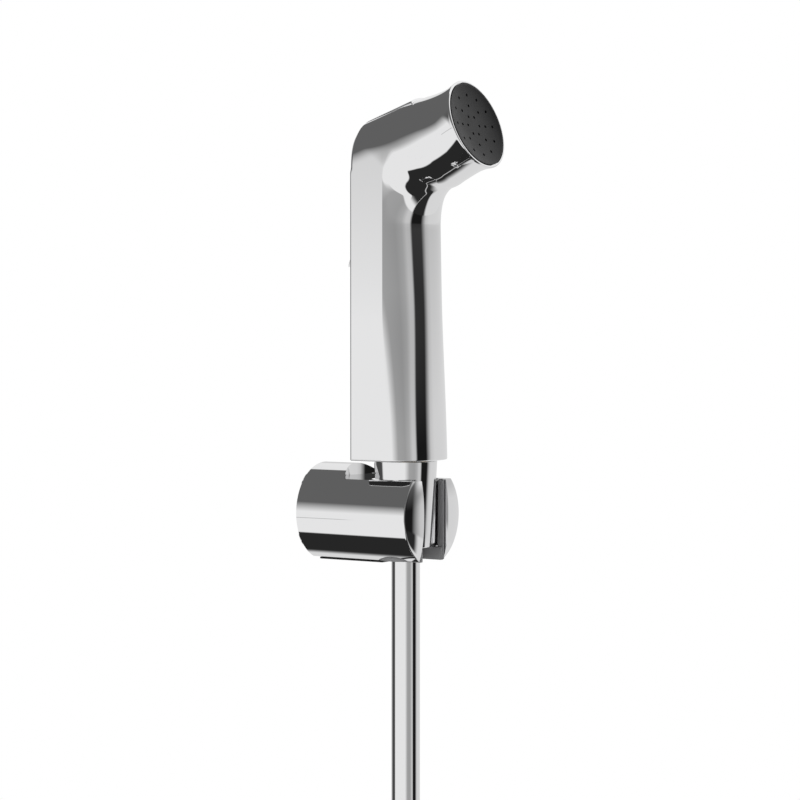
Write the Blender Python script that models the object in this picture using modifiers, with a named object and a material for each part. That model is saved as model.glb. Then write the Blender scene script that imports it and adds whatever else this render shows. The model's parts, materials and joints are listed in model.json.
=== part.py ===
"""Toilet-side hand spray with a thumb lever, its hose, and the wall holder it stands in.

Metres, +Z up. The origin is the centre of the holder's wall face, and +X runs along the
holder's axis, away from the wall. The hand spray stands in the holder, spray face up front.
"""

import math

import bmesh
import bpy
from mathutils import Matrix, Vector

# Clearances
GAP = 0.0003
LOOSE = 0.0004

# Holder: a horizontal cylinder with a domed front, cut by a slot for the hose
HOLDER_RADIUS = 0.0207
HOLDER_LENGTH = 0.0547
DOME_HEIGHT = 0.0024
DOME_STEPS = 6
RIM_BEVEL = 0.0006
TOP_FLAT_Z = 0.0147
TOP_FLAT_START = 0.0216
UNDER_FLAT_Z = -0.0190
SLOT_WIDTH = 0.0180
SEAT_X = 0.0415
MOUTH_BEVEL = 0.0011

# Hose nut: the cone that drops into the holder's seat
NUT_TOP_Z = 0.0224
NUT_BOTTOM_Z = -0.0135
NUT_TOP_RADIUS = 0.0132
NUT_BOTTOM_RADIUS = 0.0112
NUT_THREAD_RADIUS = 0.0107
NUT_SHOULDER_Z = 0.0020
NUT_EDGE = 0.0004

# Seat collar: the plastic horseshoe that the cone lands on
COLLAR_HOLE_RADIUS = 0.0068
COLLAR_ARM_LENGTH = 0.0132

# Hose and its ferrules
HOSE_RADIUS = 0.0060
FERRULE_THICKNESS = 0.0025
GASKET_THICKNESS = 0.0020
GASKET_HOLE_RADIUS = 0.0055

# Inlet nipple and check valve
NIPPLE_TOP_Z = 0.0370
NIPPLE_SPIGOT_RADIUS = 0.0090
NIPPLE_BORE_RADIUS = 0.0065
NIPPLE_EXIT_RADIUS = 0.0045
CHECK_LENGTH = 0.0120
CHECK_BORE_RADIUS = 0.0046
CHECK_SEAT_RADIUS = 0.0028
CHECK_SEAT_THICKNESS = 0.0022
CHECK_TOP_THICKNESS = 0.0016
CHECK_TOP_HOLE_RADIUS = 0.0020
POPPET_RADIUS = 0.0040
POPPET_THICKNESS = 0.0015
POPPET_STEM_RADIUS = 0.0012
POPPET_STEM_LENGTH = 0.0055

# Handle: flat back, flat sides and a rounded nose
BODY_BOTTOM_Z = NUT_TOP_Z + LOOSE
HANDLE_LENGTH = 0.0974
BACK_X = 0.0274
CREASE_X = 0.0440
NOSE_X_TOP = 0.0539
NOSE_SLOPE = 0.0331
HALF_WIDTH = 0.0207
NOSE_POWER = 2.2
CREASE_LENGTH = 0.0272
FOOT_ROUNDNESS = 1.5
EDGE_RADIUS = 0.0008

# Head: a slightly conical tube, tilted up, with a flared rim
HEAD_TILT = math.radians(18.8)
FACE_X = 0.0767
FACE_RISE = 0.0406
NECK_RADIUS = 0.0179
NECK_BACK = 0.0085
RIM_RADIUS = 0.0192
RIM_ROUND = 0.0008
FLARE_POWER = 1.2
TAPER_BACK = 0.0300
TAPER_POWER = 1.6
CROWN_HEIGHT = 0.0192
CROWN_BLEND = 0.0006
CROWN_POWER = 2.5
BEND_X = 0.0728
CROWN_FILLET = 0.0040
CHAMBER_RADIUS = 0.0146
CHAMBER_DEPTH = 0.0260
WATERWAY_RADIUS = 0.0060

# Spray face and its seal
FACE_RADIUS = 0.0178
FACE_THICKNESS = 0.0028
FACE_PROUD = 0.0002
FACE_EDGE = 0.0003
FACE_WALL = 0.0018
DISH_DEPTH = 0.0019
DISH_POWER = 3.0
DISH_STEPS = 6
SPIGOT_RADIUS = 0.0124
SPIGOT_LENGTH = 0.0075
NOZZLE_RADIUS = 0.00045
NOZZLE_RINGS = ((0.0042, 6), (0.0085, 8), (0.0130, 12))
SEAL_WIRE = 0.0008

# Thumb lever: a plate let into the back that wraps over the top of the head
LEVER_HALF_WIDTH = 0.0110
LEVER_PROUD = 0.0001
LEVER_THICKNESS = 0.0016
LEVER_KICK = 0.0072
KICK_DROP = 0.0022
KICK_LENGTH = 0.0150
LEVER_HEAD_RUN = 0.0227
LEVER_SWING = math.radians(4.0)
RECESS_LAP = 0.0030
LUG_RADIUS = 0.0026
LUG_WIDTH = 0.0050
PIN_RADIUS = 0.0011
PIN_LENGTH = 0.0160
PIN_DEPTH = 0.0040

# Shut-off valve: a push stem across the handle
VALVE_RISE = 0.0078
HOUSING_RADIUS = 0.0062
HOUSING_START = 0.0320
HOUSING_END = 0.0466
HOUSING_WALL = 0.0016
HOUSING_BORE_RADIUS = 0.0046
STEM_RADIUS = 0.0020
STEM_COLLAR_RADIUS = 0.0039
STEM_COLLAR_THICKNESS = 0.0012
SEAT_RING_THICKNESS = 0.0024
VALVE_SEAL_RADIUS = 0.0050
VALVE_SEAL_THICKNESS = 0.0020
STEM_HEAD_RADIUS = 0.0030
STEM_HEAD_THICKNESS = 0.0010
VALVE_CHAMBER_END = 0.0526
VALVE_CHAMBER_RADIUS = 0.0054

# Wall plate and its fixings
HOLDER_WALL = 0.0019
PLATE_RADIUS = HOLDER_RADIUS - HOLDER_WALL - GAP
PLATE_THICKNESS = 0.0030
HUB_RADIUS = 0.0080
HUB_LENGTH = 0.0100
CAVITY_DEPTH = 0.0062
SCREW_INSET = 0.0055
SCREW_OFFSET = PLATE_RADIUS - SCREW_INSET
SCREW_RADIUS = 0.0021
SCREW_HEAD_RADIUS = 0.0036
SCREW_HEAD_HEIGHT = 0.0024
SCREW_LENGTH = 0.0300
GRUB_X = 0.0095
GRUB_RADIUS = 0.0020
GRUB_LENGTH = 0.0085
COVER_START = 0.0020
COVER_END = 0.0345
COVER_HALF_WIDTH = 0.0068
COVER_THICKNESS = 0.0008

# Spare hose: hangs as a tied coil of two turns, its outlet nut beside it
COIL_RADIUS = 0.0700
COIL_CENTRE_Z = -0.2850
COIL_TURNS = 2
COIL_LANE = 0.0126
COIL_WALL = 0.0066
SWEEP_START_Z = -0.1220
SWEEP_END_Z = -0.2400
TAIL_END_Z = -0.3580
TIE_WIDTH = 0.0100
TIE_THICKNESS = 0.0012
FAR_NUT_RADIUS = 0.0122
FAR_NUT_LENGTH = 0.0160
FAR_THREAD_RADIUS = 0.0104

# Facets
ROUND = 40
SMALL_ROUND = 24
BACK_POINTS = 4
SIDE_POINTS = 6
NOSE_POINTS = 11

# Heights that follow the handle's length
BEND_Z = BODY_BOTTOM_Z + HANDLE_LENGTH
CREASE_FADE_Z = BEND_Z - CREASE_LENGTH
FACE_Z = BEND_Z + FACE_RISE
LEVER_KICK_TOP_Z = BEND_Z - KICK_DROP
LEVER_END_Z = LEVER_KICK_TOP_Z - KICK_LENGTH
RECESS_END_Z = LEVER_END_Z + RECESS_LAP
VALVE_Z = BEND_Z + VALVE_RISE

# Directions and distances of the bend and the head
UP_THE_HEAD = Vector((math.cos(HEAD_TILT), 0, math.sin(HEAD_TILT)))
ABOVE_THE_HEAD = Vector((-math.sin(HEAD_TILT), 0, math.cos(HEAD_TILT)))
BEND = Vector((BEND_X, 0, BEND_Z))
FACE = Vector((FACE_X, 0, FACE_Z))
BEND_ANGLE = math.pi / 2 - HEAD_TILT
AXIS_HEIGHT = (FACE - BEND).dot(ABOVE_THE_HEAD)
HEAD_RUN = (FACE - BEND).dot(UP_THE_HEAD)


def clear_scene():
    """Removes everything that the file opened with."""
    for obj in list(bpy.data.objects):
        bpy.data.objects.remove(obj, do_unlink=True)


def new_collection(name):
    """A collection linked to the scene."""
    collection = bpy.data.collections.new(name)
    bpy.context.scene.collection.children.link(collection)
    return collection


def material(name, colour, roughness, metallic):
    """A Principled material."""
    made = bpy.data.materials.new(name)
    made.use_nodes = True
    shader = made.node_tree.nodes["Principled BSDF"]
    shader.inputs["Base Color"].default_value = (*colour, 1.0)
    shader.inputs["Roughness"].default_value = roughness
    shader.inputs["Metallic"].default_value = metallic
    return made


def place(name, mesh, collection, surface=None, location=(0, 0, 0)):
    """An object for a mesh whose points are in the part's frame, with its origin at location."""
    mesh.transform(Matrix.Translation(-Vector(location)))
    obj = bpy.data.objects.new(name, mesh)
    obj.location = location
    collection.objects.link(obj)
    if surface:
        mesh.materials.append(surface)
    mesh.shade_smooth()
    mesh.set_sharp_from_angle(angle=math.radians(30))
    return obj


def mesh_from(name, build):
    """A mesh that build fills through a bmesh."""
    work = bmesh.new()
    build(work)
    bmesh.ops.recalc_face_normals(work, faces=work.faces)
    mesh = bpy.data.meshes.new(name)
    work.to_mesh(mesh)
    work.free()
    return mesh


def turned(name, profile, axis_point, axis, collection, surface=None, steps=ROUND):
    """A turned piece: profile is (radius, height) pairs, height along axis from axis_point.

    An open profile starts and ends on the axis, and a closed one is a ring's section.
    """
    ring = min(radius for radius, _ in profile) > 0
    area = 0.0
    for (r0, h0), (r1, h1) in zip(profile, profile[1:] + profile[:1]):
        area += r0 * h1 - r1 * h0
    points = list(profile) if area < 0 else list(reversed(profile))
    mesh = bpy.data.meshes.new(name)
    edges = [(i, i + 1) for i in range(len(points) - 1)]
    if ring:
        edges.append((len(points) - 1, 0))
    mesh.from_pydata([(r, 0, h) for r, h in points], edges, [])
    obj = bpy.data.objects.new(name, mesh)
    obj.rotation_mode = "QUATERNION"
    obj.rotation_quaternion = Vector((0, 0, 1)).rotation_difference(Vector(axis))
    obj.location = axis_point
    collection.objects.link(obj)
    if surface:
        mesh.materials.append(surface)
    screw = obj.modifiers.new("turn", "SCREW")
    screw.steps = steps
    screw.render_steps = steps
    screw.use_merge_vertices = True
    screw.merge_threshold = 0.00001
    screw.use_smooth_shade = True
    return obj


def solid_profile(*pairs):
    """An open turned profile, closed to the axis at both ends."""
    return [(0.0, pairs[0][1]), *pairs, (0.0, pairs[-1][1])]


def cylinder(name, radius, start, end, collection, surface=None, steps=ROUND, origin=None):
    """A round bar between two points of the part's frame."""
    start, end = Vector(start), Vector(end)
    turn = Vector((0, 0, 1)).rotation_difference(end - start).to_matrix().to_4x4()
    matrix = Matrix.Translation((start + end) / 2) @ turn

    def build(work):
        bmesh.ops.create_cone(
            work,
            cap_ends=True,
            segments=steps,
            radius1=radius,
            radius2=radius,
            depth=(end - start).length,
            matrix=matrix,
        )

    return place(name, mesh_from(name, build), collection, surface, origin or (0, 0, 0))


def box(name, low, high, collection, surface=None):
    """A block between two corners."""
    low, high = Vector(low), Vector(high)
    size = Matrix.Diagonal((*(high - low), 1.0))

    def build(work):
        bmesh.ops.create_cube(work, size=1.0, matrix=Matrix.Translation((low + high) / 2) @ size)

    return place(name, mesh_from(name, build), collection, surface)


def loft(name, sections, collection, surface=None, origin=(0, 0, 0)):
    """A closed skin over sections that have the same number of points, capped at both ends."""

    def build(work):
        rings = [[work.verts.new(point) for point in section] for section in sections]
        for near, far in zip(rings, rings[1:]):
            for i in range(len(near)):
                j = (i + 1) % len(near)
                work.faces.new((near[i], near[j], far[j], far[i]))
        work.faces.new(rings[0])
        work.faces.new(rings[-1])
        bmesh.ops.triangulate(work, faces=work.faces)

    return place(name, mesh_from(name, build), collection, surface, origin)


def cut(obj, cutter, operation="DIFFERENCE"):
    """Takes a hidden cutter out of an object, or joins it on."""
    cutter.hide_render = True
    cutter.display_type = "WIRE"
    boolean = obj.modifiers.new(cutter.name, "BOOLEAN")
    boolean.operation = operation
    boolean.solver = "EXACT"
    boolean.object = cutter
    return obj


def tube(name, points, radius, collection, surface, sides=2):
    """A round cord along points."""
    curve = bpy.data.curves.new(name, "CURVE")
    curve.dimensions = "3D"
    curve.bevel_depth = radius
    curve.bevel_resolution = sides
    curve.use_fill_caps = True
    spline = curve.splines.new("POLY")
    spline.points.add(len(points) - 1)
    for point, place_at in zip(spline.points, points):
        point.co = (*place_at, 1.0)
    curve.materials.append(surface)
    obj = bpy.data.objects.new(name, curve)
    collection.objects.link(obj)
    return obj


def smooth(value):
    """0 below 0, 1 above 1, and an S between them."""
    value = min(1.0, max(0.0, value))
    return value * value * (3 - 2 * value)


def head_width(back):
    """The head's half width, this far behind the face plane."""
    if back < NECK_BACK:
        flare = (RIM_RADIUS - NECK_RADIUS) * (1 - back / NECK_BACK) ** FLARE_POWER
        edge = max(0.0, 1 - back / RIM_ROUND)
        return NECK_RADIUS + flare - RIM_ROUND * (1 - math.sqrt(1 - edge**2))
    share = min(1.0, (back - NECK_BACK) / (TAPER_BACK - NECK_BACK))
    return NECK_RADIUS + (HALF_WIDTH - NECK_RADIUS) * share**TAPER_POWER


def head_height(back):
    """The head's half height: as its half width, but it stops growing at the crown's height."""
    width = head_width(back)
    near = max(0.0, 1 - abs(width - CROWN_HEIGHT) / CROWN_BLEND)
    return min(width, CROWN_HEIGHT) - near**2 * CROWN_BLEND / 4


def head_power(back):
    """How square the head's section is: 2 is an ellipse."""
    return 2 + (CROWN_POWER - 2) * smooth((back - NECK_BACK) / (TAPER_BACK - NECK_BACK))


def arch(height, width, power, y):
    """Height of an arch this far from its middle."""
    return height * max(0.0, 1 - (abs(y) / width) ** power) ** (1 / power)


def crown_centre(y):
    """Centre of the arc that joins the flat back to the top of the head, this far from the middle."""
    rise = AXIS_HEIGHT + arch(CROWN_HEIGHT, HALF_WIDTH, CROWN_POWER, y) - CROWN_FILLET
    x = BACK_X + CROWN_FILLET
    z = BEND_Z + (rise - (x - BEND_X) * ABOVE_THE_HEAD.x) / ABOVE_THE_HEAD.z
    return Vector((x, 0, z))


def back_distance(angle, back, y):
    """Distance from the bend's centre to the back or top surface, along a ray raised by angle."""
    off = BEND_ANGLE - angle
    flat = (BEND_X - BACK_X) / math.cos(angle)
    top = (AXIS_HEIGHT + arch(head_height(back), head_width(back), head_power(back), y)) / math.cos(off)
    centre = crown_centre(y) - BEND
    ray = Vector((-math.cos(angle), 0, math.sin(angle)))
    along = centre.dot(ray)
    reach = CROWN_FILLET**2 - centre.dot(centre) + along**2
    if reach > 0:
        hit = ray * (along + math.sqrt(reach)) - centre
        if hit.x < 0 and hit.dot(UP_THE_HEAD) < 0:
            return along + math.sqrt(reach)
    return min(flat, top)


class Section:
    """One section of the hand spray, in the plane of the Y axis and a ray."""

    def __init__(self, origin, ray, width, axis_at, lean, arch_power, shoulder, tip, roundness, power, back):
        self.origin = Vector(origin)
        self.ray = Vector(ray)
        self.width = width
        self.axis_at = axis_at
        self.lean = lean
        self.arch_power = arch_power
        self.shoulder = shoulder
        self.tip = tip
        self.roundness = roundness
        self.power = power
        self.back = back

    def side(self, t):
        """Half width at distance t along the ray, behind the shoulder."""
        over = max(0.0, t - self.axis_at) * self.lean
        return self.width * max(0.0, 1 - over**self.arch_power) ** (1 / self.arch_power)

    def half_outline(self):
        """(distance, half width) pairs from the middle of the back round to the nose."""
        corner = min(self.width, self.side(self.back(0.0)))
        corner = max(corner, 0.3 * self.width)
        inner = corner - EDGE_RADIUS
        points = []
        for i in range(BACK_POINTS + 1):
            y = inner * i / BACK_POINTS
            points.append((self.back(y), y))
        knee = (self.back(corner), corner)
        side_start = knee[0] - EDGE_RADIUS
        after = (side_start, self.side(side_start))
        points.append(tuple(0.25 * a + 0.5 * k + 0.25 * b for a, k, b in zip(points[-1], knee, after)))
        for i in range(SIDE_POINTS + 1):
            t = self.shoulder + (side_start - self.shoulder) * math.cos(i / SIDE_POINTS * math.pi / 2)
            points.append((t, self.side(t)))
        depth = self.shoulder - self.tip
        for i in range(1, NOSE_POINTS + 1):
            across = math.cos(i / NOSE_POINTS * math.pi / 2) if i < NOSE_POINTS else 0.0
            out = (1 - across**self.power) ** (1 / self.roundness)
            points.append((self.shoulder - depth * out, self.width * across))
        return points

    def outline(self):
        """The closed outline as points of the part's frame."""
        half = self.half_outline()
        loop = [(t, -y) for t, y in half] + [(t, y) for t, y in reversed(half[1:-1])]
        return [self.origin + self.ray * t + Vector((0, y, 0)) for t, y in loop]


def handle_section(z):
    """A level section of the handle."""
    nose = NOSE_X_TOP + (NOSE_SLOPE * (BEND_Z - z) if z < BEND_Z else 0.0)
    fade = smooth((CREASE_FADE_Z - z) / (CREASE_FADE_Z - BODY_BOTTOM_Z))
    return Section(
        origin=(BEND_X, 0, z),
        ray=(-1, 0, 0),
        width=HALF_WIDTH,
        axis_at=1.0,
        lean=1.0,
        arch_power=2.0,
        shoulder=BEND_X - CREASE_X,
        tip=BEND_X - nose,
        roundness=1 + (FOOT_ROUNDNESS - 1) * fade,
        power=NOSE_POWER,
        back=lambda y: BEND_X - BACK_X,
    )


def bend_section(angle):
    """A section of the bend, along a ray raised by angle from level."""
    off = BEND_ANGLE - angle
    back = HEAD_RUN + AXIS_HEIGHT * math.tan(off)
    axis_at = AXIS_HEIGHT / math.cos(off)
    crease = (BEND_X - CREASE_X) / math.cos(angle)
    turn = angle / BEND_ANGLE
    throat_end = AXIS_HEIGHT - head_height(HEAD_RUN)
    round_off = smooth(crease / axis_at * smooth(1.6 * turn)) if crease < axis_at else 1.0
    return Section(
        origin=BEND,
        ray=(-math.cos(angle), 0, math.sin(angle)),
        width=head_width(back),
        axis_at=axis_at,
        lean=math.cos(off) / head_height(back),
        arch_power=head_power(back),
        shoulder=min(crease, axis_at),
        tip=(BEND_X - NOSE_X_TOP) * (1 - smooth(turn)) + throat_end * smooth(turn),
        roundness=1 + round_off,
        power=NOSE_POWER + (2 - NOSE_POWER) * round_off,
        back=lambda y: back_distance(angle, back, y),
    )


def head_section(run):
    """A square-on section of the head, this far past the bend."""
    back = HEAD_RUN - run
    width, height, arch_power = head_width(back), head_height(back), head_power(back)
    return Section(
        origin=BEND + UP_THE_HEAD * run,
        ray=ABOVE_THE_HEAD,
        width=width,
        axis_at=AXIS_HEIGHT,
        lean=1 / height,
        arch_power=arch_power,
        shoulder=AXIS_HEIGHT,
        tip=AXIS_HEIGHT - height,
        roundness=2.0,
        power=2.0,
        back=lambda y: AXIS_HEIGHT + arch(height, width, arch_power, y),
    )


def body_sections():
    """The sections of the hand spray's shell, from the foot to the flared rim."""
    levels = 7
    bends = 16
    sections = []
    for i in range(levels):
        sections.append(handle_section(BODY_BOTTOM_Z + (BEND_Z - BODY_BOTTOM_Z) * i / levels))
    for i in range(bends):
        sections.append(bend_section(BEND_ANGLE * i / bends))
    backs = [HEAD_RUN, 0.5 * (HEAD_RUN + NECK_BACK), NECK_BACK, 0.5 * NECK_BACK, 0.25 * NECK_BACK]
    for back in backs + [RIM_ROUND, 0.3 * RIM_ROUND, 0.0]:
        sections.append(head_section(HEAD_RUN - back))
    return [section.outline() for section in sections]


def lever_path(crown_steps=4):
    """Stations of the thumb lever from its thumb end to its head end, as (kind, value)."""
    top_z = crown_centre(0.0).z
    stations = []
    for i in range(6):
        stations.append(("back", LEVER_END_Z + (LEVER_KICK_TOP_Z - LEVER_END_Z) * i / 5))
    stations.append(("back", 0.5 * (LEVER_KICK_TOP_Z + top_z)))
    for i in range(crown_steps + 1):
        stations.append(("crown", BEND_ANGLE * i / crown_steps))
    stations.append(("head", 0.5 * LEVER_HEAD_RUN))
    stations.append(("head", LEVER_HEAD_RUN))
    return stations


def shell_point(station, y, offset):
    """A point this far outside the shell's back or top, at a station and this far from the middle."""
    kind, value = station
    centre = crown_centre(y)
    if kind == "back":
        drop = crown_centre(0.0).z - centre.z
        reach = smooth((value - BEND_Z) / (crown_centre(0.0).z - BEND_Z))
        return Vector((BACK_X - offset, y, value - drop * reach))
    turn = BEND_ANGLE if kind == "head" else value
    out = Vector((-math.cos(turn), 0, math.sin(turn)))
    point = centre + out * (CROWN_FILLET + offset)
    if kind == "head":
        point += UP_THE_HEAD * value
    return point + Vector((0, y, 0))


def kick(station):
    """How far the thumb end bends away from the handle at a station."""
    kind, value = station
    if kind != "back":
        return 0.0
    return LEVER_KICK * smooth((LEVER_KICK_TOP_Z - value) / (LEVER_KICK_TOP_Z - LEVER_END_Z))


def plate_section(station, half_width, inside, outside, across=8):
    """A strip's closed section between two offsets from the shell."""
    ys = [half_width * (2 * i / across - 1) for i in range(across + 1)]
    near = [shell_point(station, y, inside) for y in ys]
    far = [shell_point(station, y, outside) for y in reversed(ys)]
    return near + far


def pin_centre():
    """Where the lever's pin crosses the middle plane."""
    turn = 0.5 * BEND_ANGLE
    out = Vector((-math.cos(turn), 0, math.sin(turn)))
    return crown_centre(0.0) + out * (CROWN_FILLET - PIN_DEPTH)


def recess_depth(station):
    """Depth of the lever's recess, with room for the plate to swing in."""
    kind, value = station
    drop = pin_centre().z - value if kind == "back" else 0.0
    return LEVER_THICKNESS - LEVER_PROUD + LOOSE + max(0.0, drop) * math.tan(LEVER_SWING)


def make_body(parts, cutters, chrome):
    """The cast shell of the hand spray, with its bores and the lever's recess."""
    body = loft("handset_body", body_sections(), parts, chrome)
    back_in = FACE - UP_THE_HEAD * CHAMBER_DEPTH
    chamber = cylinder("chamber_cut", CHAMBER_RADIUS, back_in, FACE + UP_THE_HEAD * 0.01, cutters)
    cut(body, chamber)
    seat_in = FACE - UP_THE_HEAD * (FACE_THICKNESS - FACE_PROUD + GAP)
    seat = cylinder("face_seat_cut", FACE_RADIUS + GAP, seat_in, FACE + UP_THE_HEAD * 0.01, cutters)
    cut(body, seat)
    inlet = turned(
        "inlet_cut",
        solid_profile(
            (NIPPLE_SPIGOT_RADIUS + GAP, BODY_BOTTOM_Z - 0.005),
            (NIPPLE_SPIGOT_RADIUS + GAP, NIPPLE_TOP_Z + GAP),
            (WATERWAY_RADIUS, NIPPLE_TOP_Z + GAP),
            (WATERWAY_RADIUS, VALVE_Z),
        ),
        (SEAT_X, 0, 0),
        (0, 0, 1),
        cutters,
        steps=SMALL_ROUND,
    )
    cut(body, inlet)
    valve = turned(
        "valve_cut",
        solid_profile(
            (HOUSING_RADIUS + GAP, BACK_X - 0.005),
            (HOUSING_RADIUS + GAP, HOUSING_END + GAP),
            (VALVE_CHAMBER_RADIUS, HOUSING_END + GAP),
            (VALVE_CHAMBER_RADIUS, VALVE_CHAMBER_END),
        ),
        (0, 0, VALVE_Z),
        (1, 0, 0),
        cutters,
        steps=SMALL_ROUND,
    )
    cut(body, valve)
    riser_x = 0.5 * (HOUSING_END + VALVE_CHAMBER_END)
    riser = cylinder(
        "riser_cut",
        0.5 * WATERWAY_RADIUS,
        (riser_x, 0, VALVE_Z),
        (riser_x, 0, back_in.z),
        cutters,
        steps=12,
    )
    cut(body, riser)
    stations = [("back", RECESS_END_Z)]
    stations += [station for station in lever_path() if station[0] != "back" or station[1] >= LEVER_KICK_TOP_Z]
    stations[-1] = ("head", LEVER_HEAD_RUN + LOOSE)
    half_width = LEVER_HALF_WIDTH + LOOSE
    recess = loft(
        "recess_cut",
        [plate_section(s, half_width, -recess_depth(s), 0.004) for s in stations],
        cutters,
    )
    cut(body, recess)
    pin = pin_centre()
    side = Vector((0, 0.5 * LUG_WIDTH + GAP, 0))
    cut(body, cylinder("lug_cut", LUG_RADIUS + LOOSE, pin - side, pin + side, cutters, steps=SMALL_ROUND))
    side = Vector((0, 0.5 * PIN_LENGTH + GAP, 0))
    cut(body, cylinder("pin_cut", PIN_RADIUS + GAP, pin - side, pin + side, cutters, steps=16))
    return body


def make_lever(parts, cutters, chrome, steel):
    """The thumb lever with its lug, and the pin it swings on."""
    pin = pin_centre()
    sections = []
    for station in lever_path():
        lift = kick(station)
        inside = LEVER_PROUD - LEVER_THICKNESS + lift
        sections.append(plate_section(station, LEVER_HALF_WIDTH, inside, LEVER_PROUD + lift))
    lever = loft("thumb_lever", sections, parts, chrome, origin=pin)
    side = Vector((0, 0.5 * LUG_WIDTH, 0))
    lug = cylinder("lug", LUG_RADIUS, pin - side, pin + side, cutters, steps=SMALL_ROUND)
    turn = 0.5 * BEND_ANGLE
    out = Vector((-math.cos(turn), 0, math.sin(turn)))
    web_end = pin + out * (PIN_DEPTH - 0.5 * LEVER_THICKNESS)
    web = cylinder("lug_web", 0.8 * LUG_RADIUS, pin, web_end, cutters, steps=16)
    cut(lug, web, "UNION")
    cut(lever, lug, "UNION")
    side = Vector((0, LUG_WIDTH, 0))
    hole = cylinder("lug_hole", PIN_RADIUS + GAP, pin - side, pin + side, cutters, steps=16)
    cut(lever, hole)
    side = Vector((0, 0.5 * PIN_LENGTH, 0))
    cylinder("lever_pin", PIN_RADIUS, pin - side, pin + side, parts, steel, steps=16)
    return lever


def make_face(parts, cutters, black, rubber):
    """The dished and perforated spray face and its seal."""
    back = -FACE_THICKNESS + FACE_PROUD
    lip = FACE_RADIUS - FACE_EDGE
    dish = []
    for i in range(DISH_STEPS + 1):
        share = i / DISH_STEPS
        dish.append((lip * share, FACE_PROUD - DISH_DEPTH * (1 - share**DISH_POWER)))
    face = turned(
        "spray_face",
        [
            *dish,
            (FACE_RADIUS, FACE_PROUD - FACE_EDGE),
            (FACE_RADIUS, back),
            (SPIGOT_RADIUS, back),
            (SPIGOT_RADIUS, back - SPIGOT_LENGTH),
            (SPIGOT_RADIUS - FACE_WALL, back - SPIGOT_LENGTH),
            (SPIGOT_RADIUS - FACE_WALL, back),
            (0.0, back),
        ],
        FACE,
        UP_THE_HEAD,
        parts,
        black,
    )

    def build(work):
        for radius, count in NOZZLE_RINGS:
            for i in range(count):
                angle = 2 * math.pi * i / count
                spot = Vector((0, math.cos(angle) * radius, 0))
                spot += ABOVE_THE_HEAD * math.sin(angle) * radius + FACE
                turn = Vector((0, 0, 1)).rotation_difference(UP_THE_HEAD).to_matrix().to_4x4()
                bmesh.ops.create_cone(
                    work,
                    cap_ends=True,
                    segments=6,
                    radius1=NOZZLE_RADIUS,
                    radius2=NOZZLE_RADIUS,
                    depth=4 * FACE_THICKNESS,
                    matrix=Matrix.Translation(spot) @ turn,
                )

    cut(face, place("nozzle_cuts", mesh_from("nozzle_cuts", build), cutters))
    seal_at = back - 0.5 * SPIGOT_LENGTH
    torus("face_seal", SPIGOT_RADIUS + GAP + SEAL_WIRE, SEAL_WIRE, FACE + UP_THE_HEAD * seal_at,
          UP_THE_HEAD, parts, rubber)


def torus(name, ring_radius, wire_radius, centre, axis, collection, surface):
    """A seal ring."""
    profile = []
    for i in range(10):
        angle = 2 * math.pi * i / 10
        profile.append((ring_radius + wire_radius * math.cos(angle), wire_radius * math.sin(angle)))
    return turned(name, profile, centre, axis, collection, surface, steps=SMALL_ROUND)


def spring(name, centre, axis, length, coil_radius, wire_radius, turns, collection, surface):
    """A compression spring that starts at centre and runs along axis."""
    axis = Vector(axis)
    turn = Vector((0, 0, 1)).rotation_difference(axis)
    points = []
    steps = 10 * turns
    run = length - 2 * wire_radius
    for i in range(steps + 1):
        angle = 2 * math.pi * i / 10
        local = (coil_radius * math.cos(angle), coil_radius * math.sin(angle), wire_radius + run * i / steps)
        points.append(Vector(centre) + turn @ Vector(local))
    return tube(name, points, wire_radius, collection, surface, sides=1)


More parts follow.
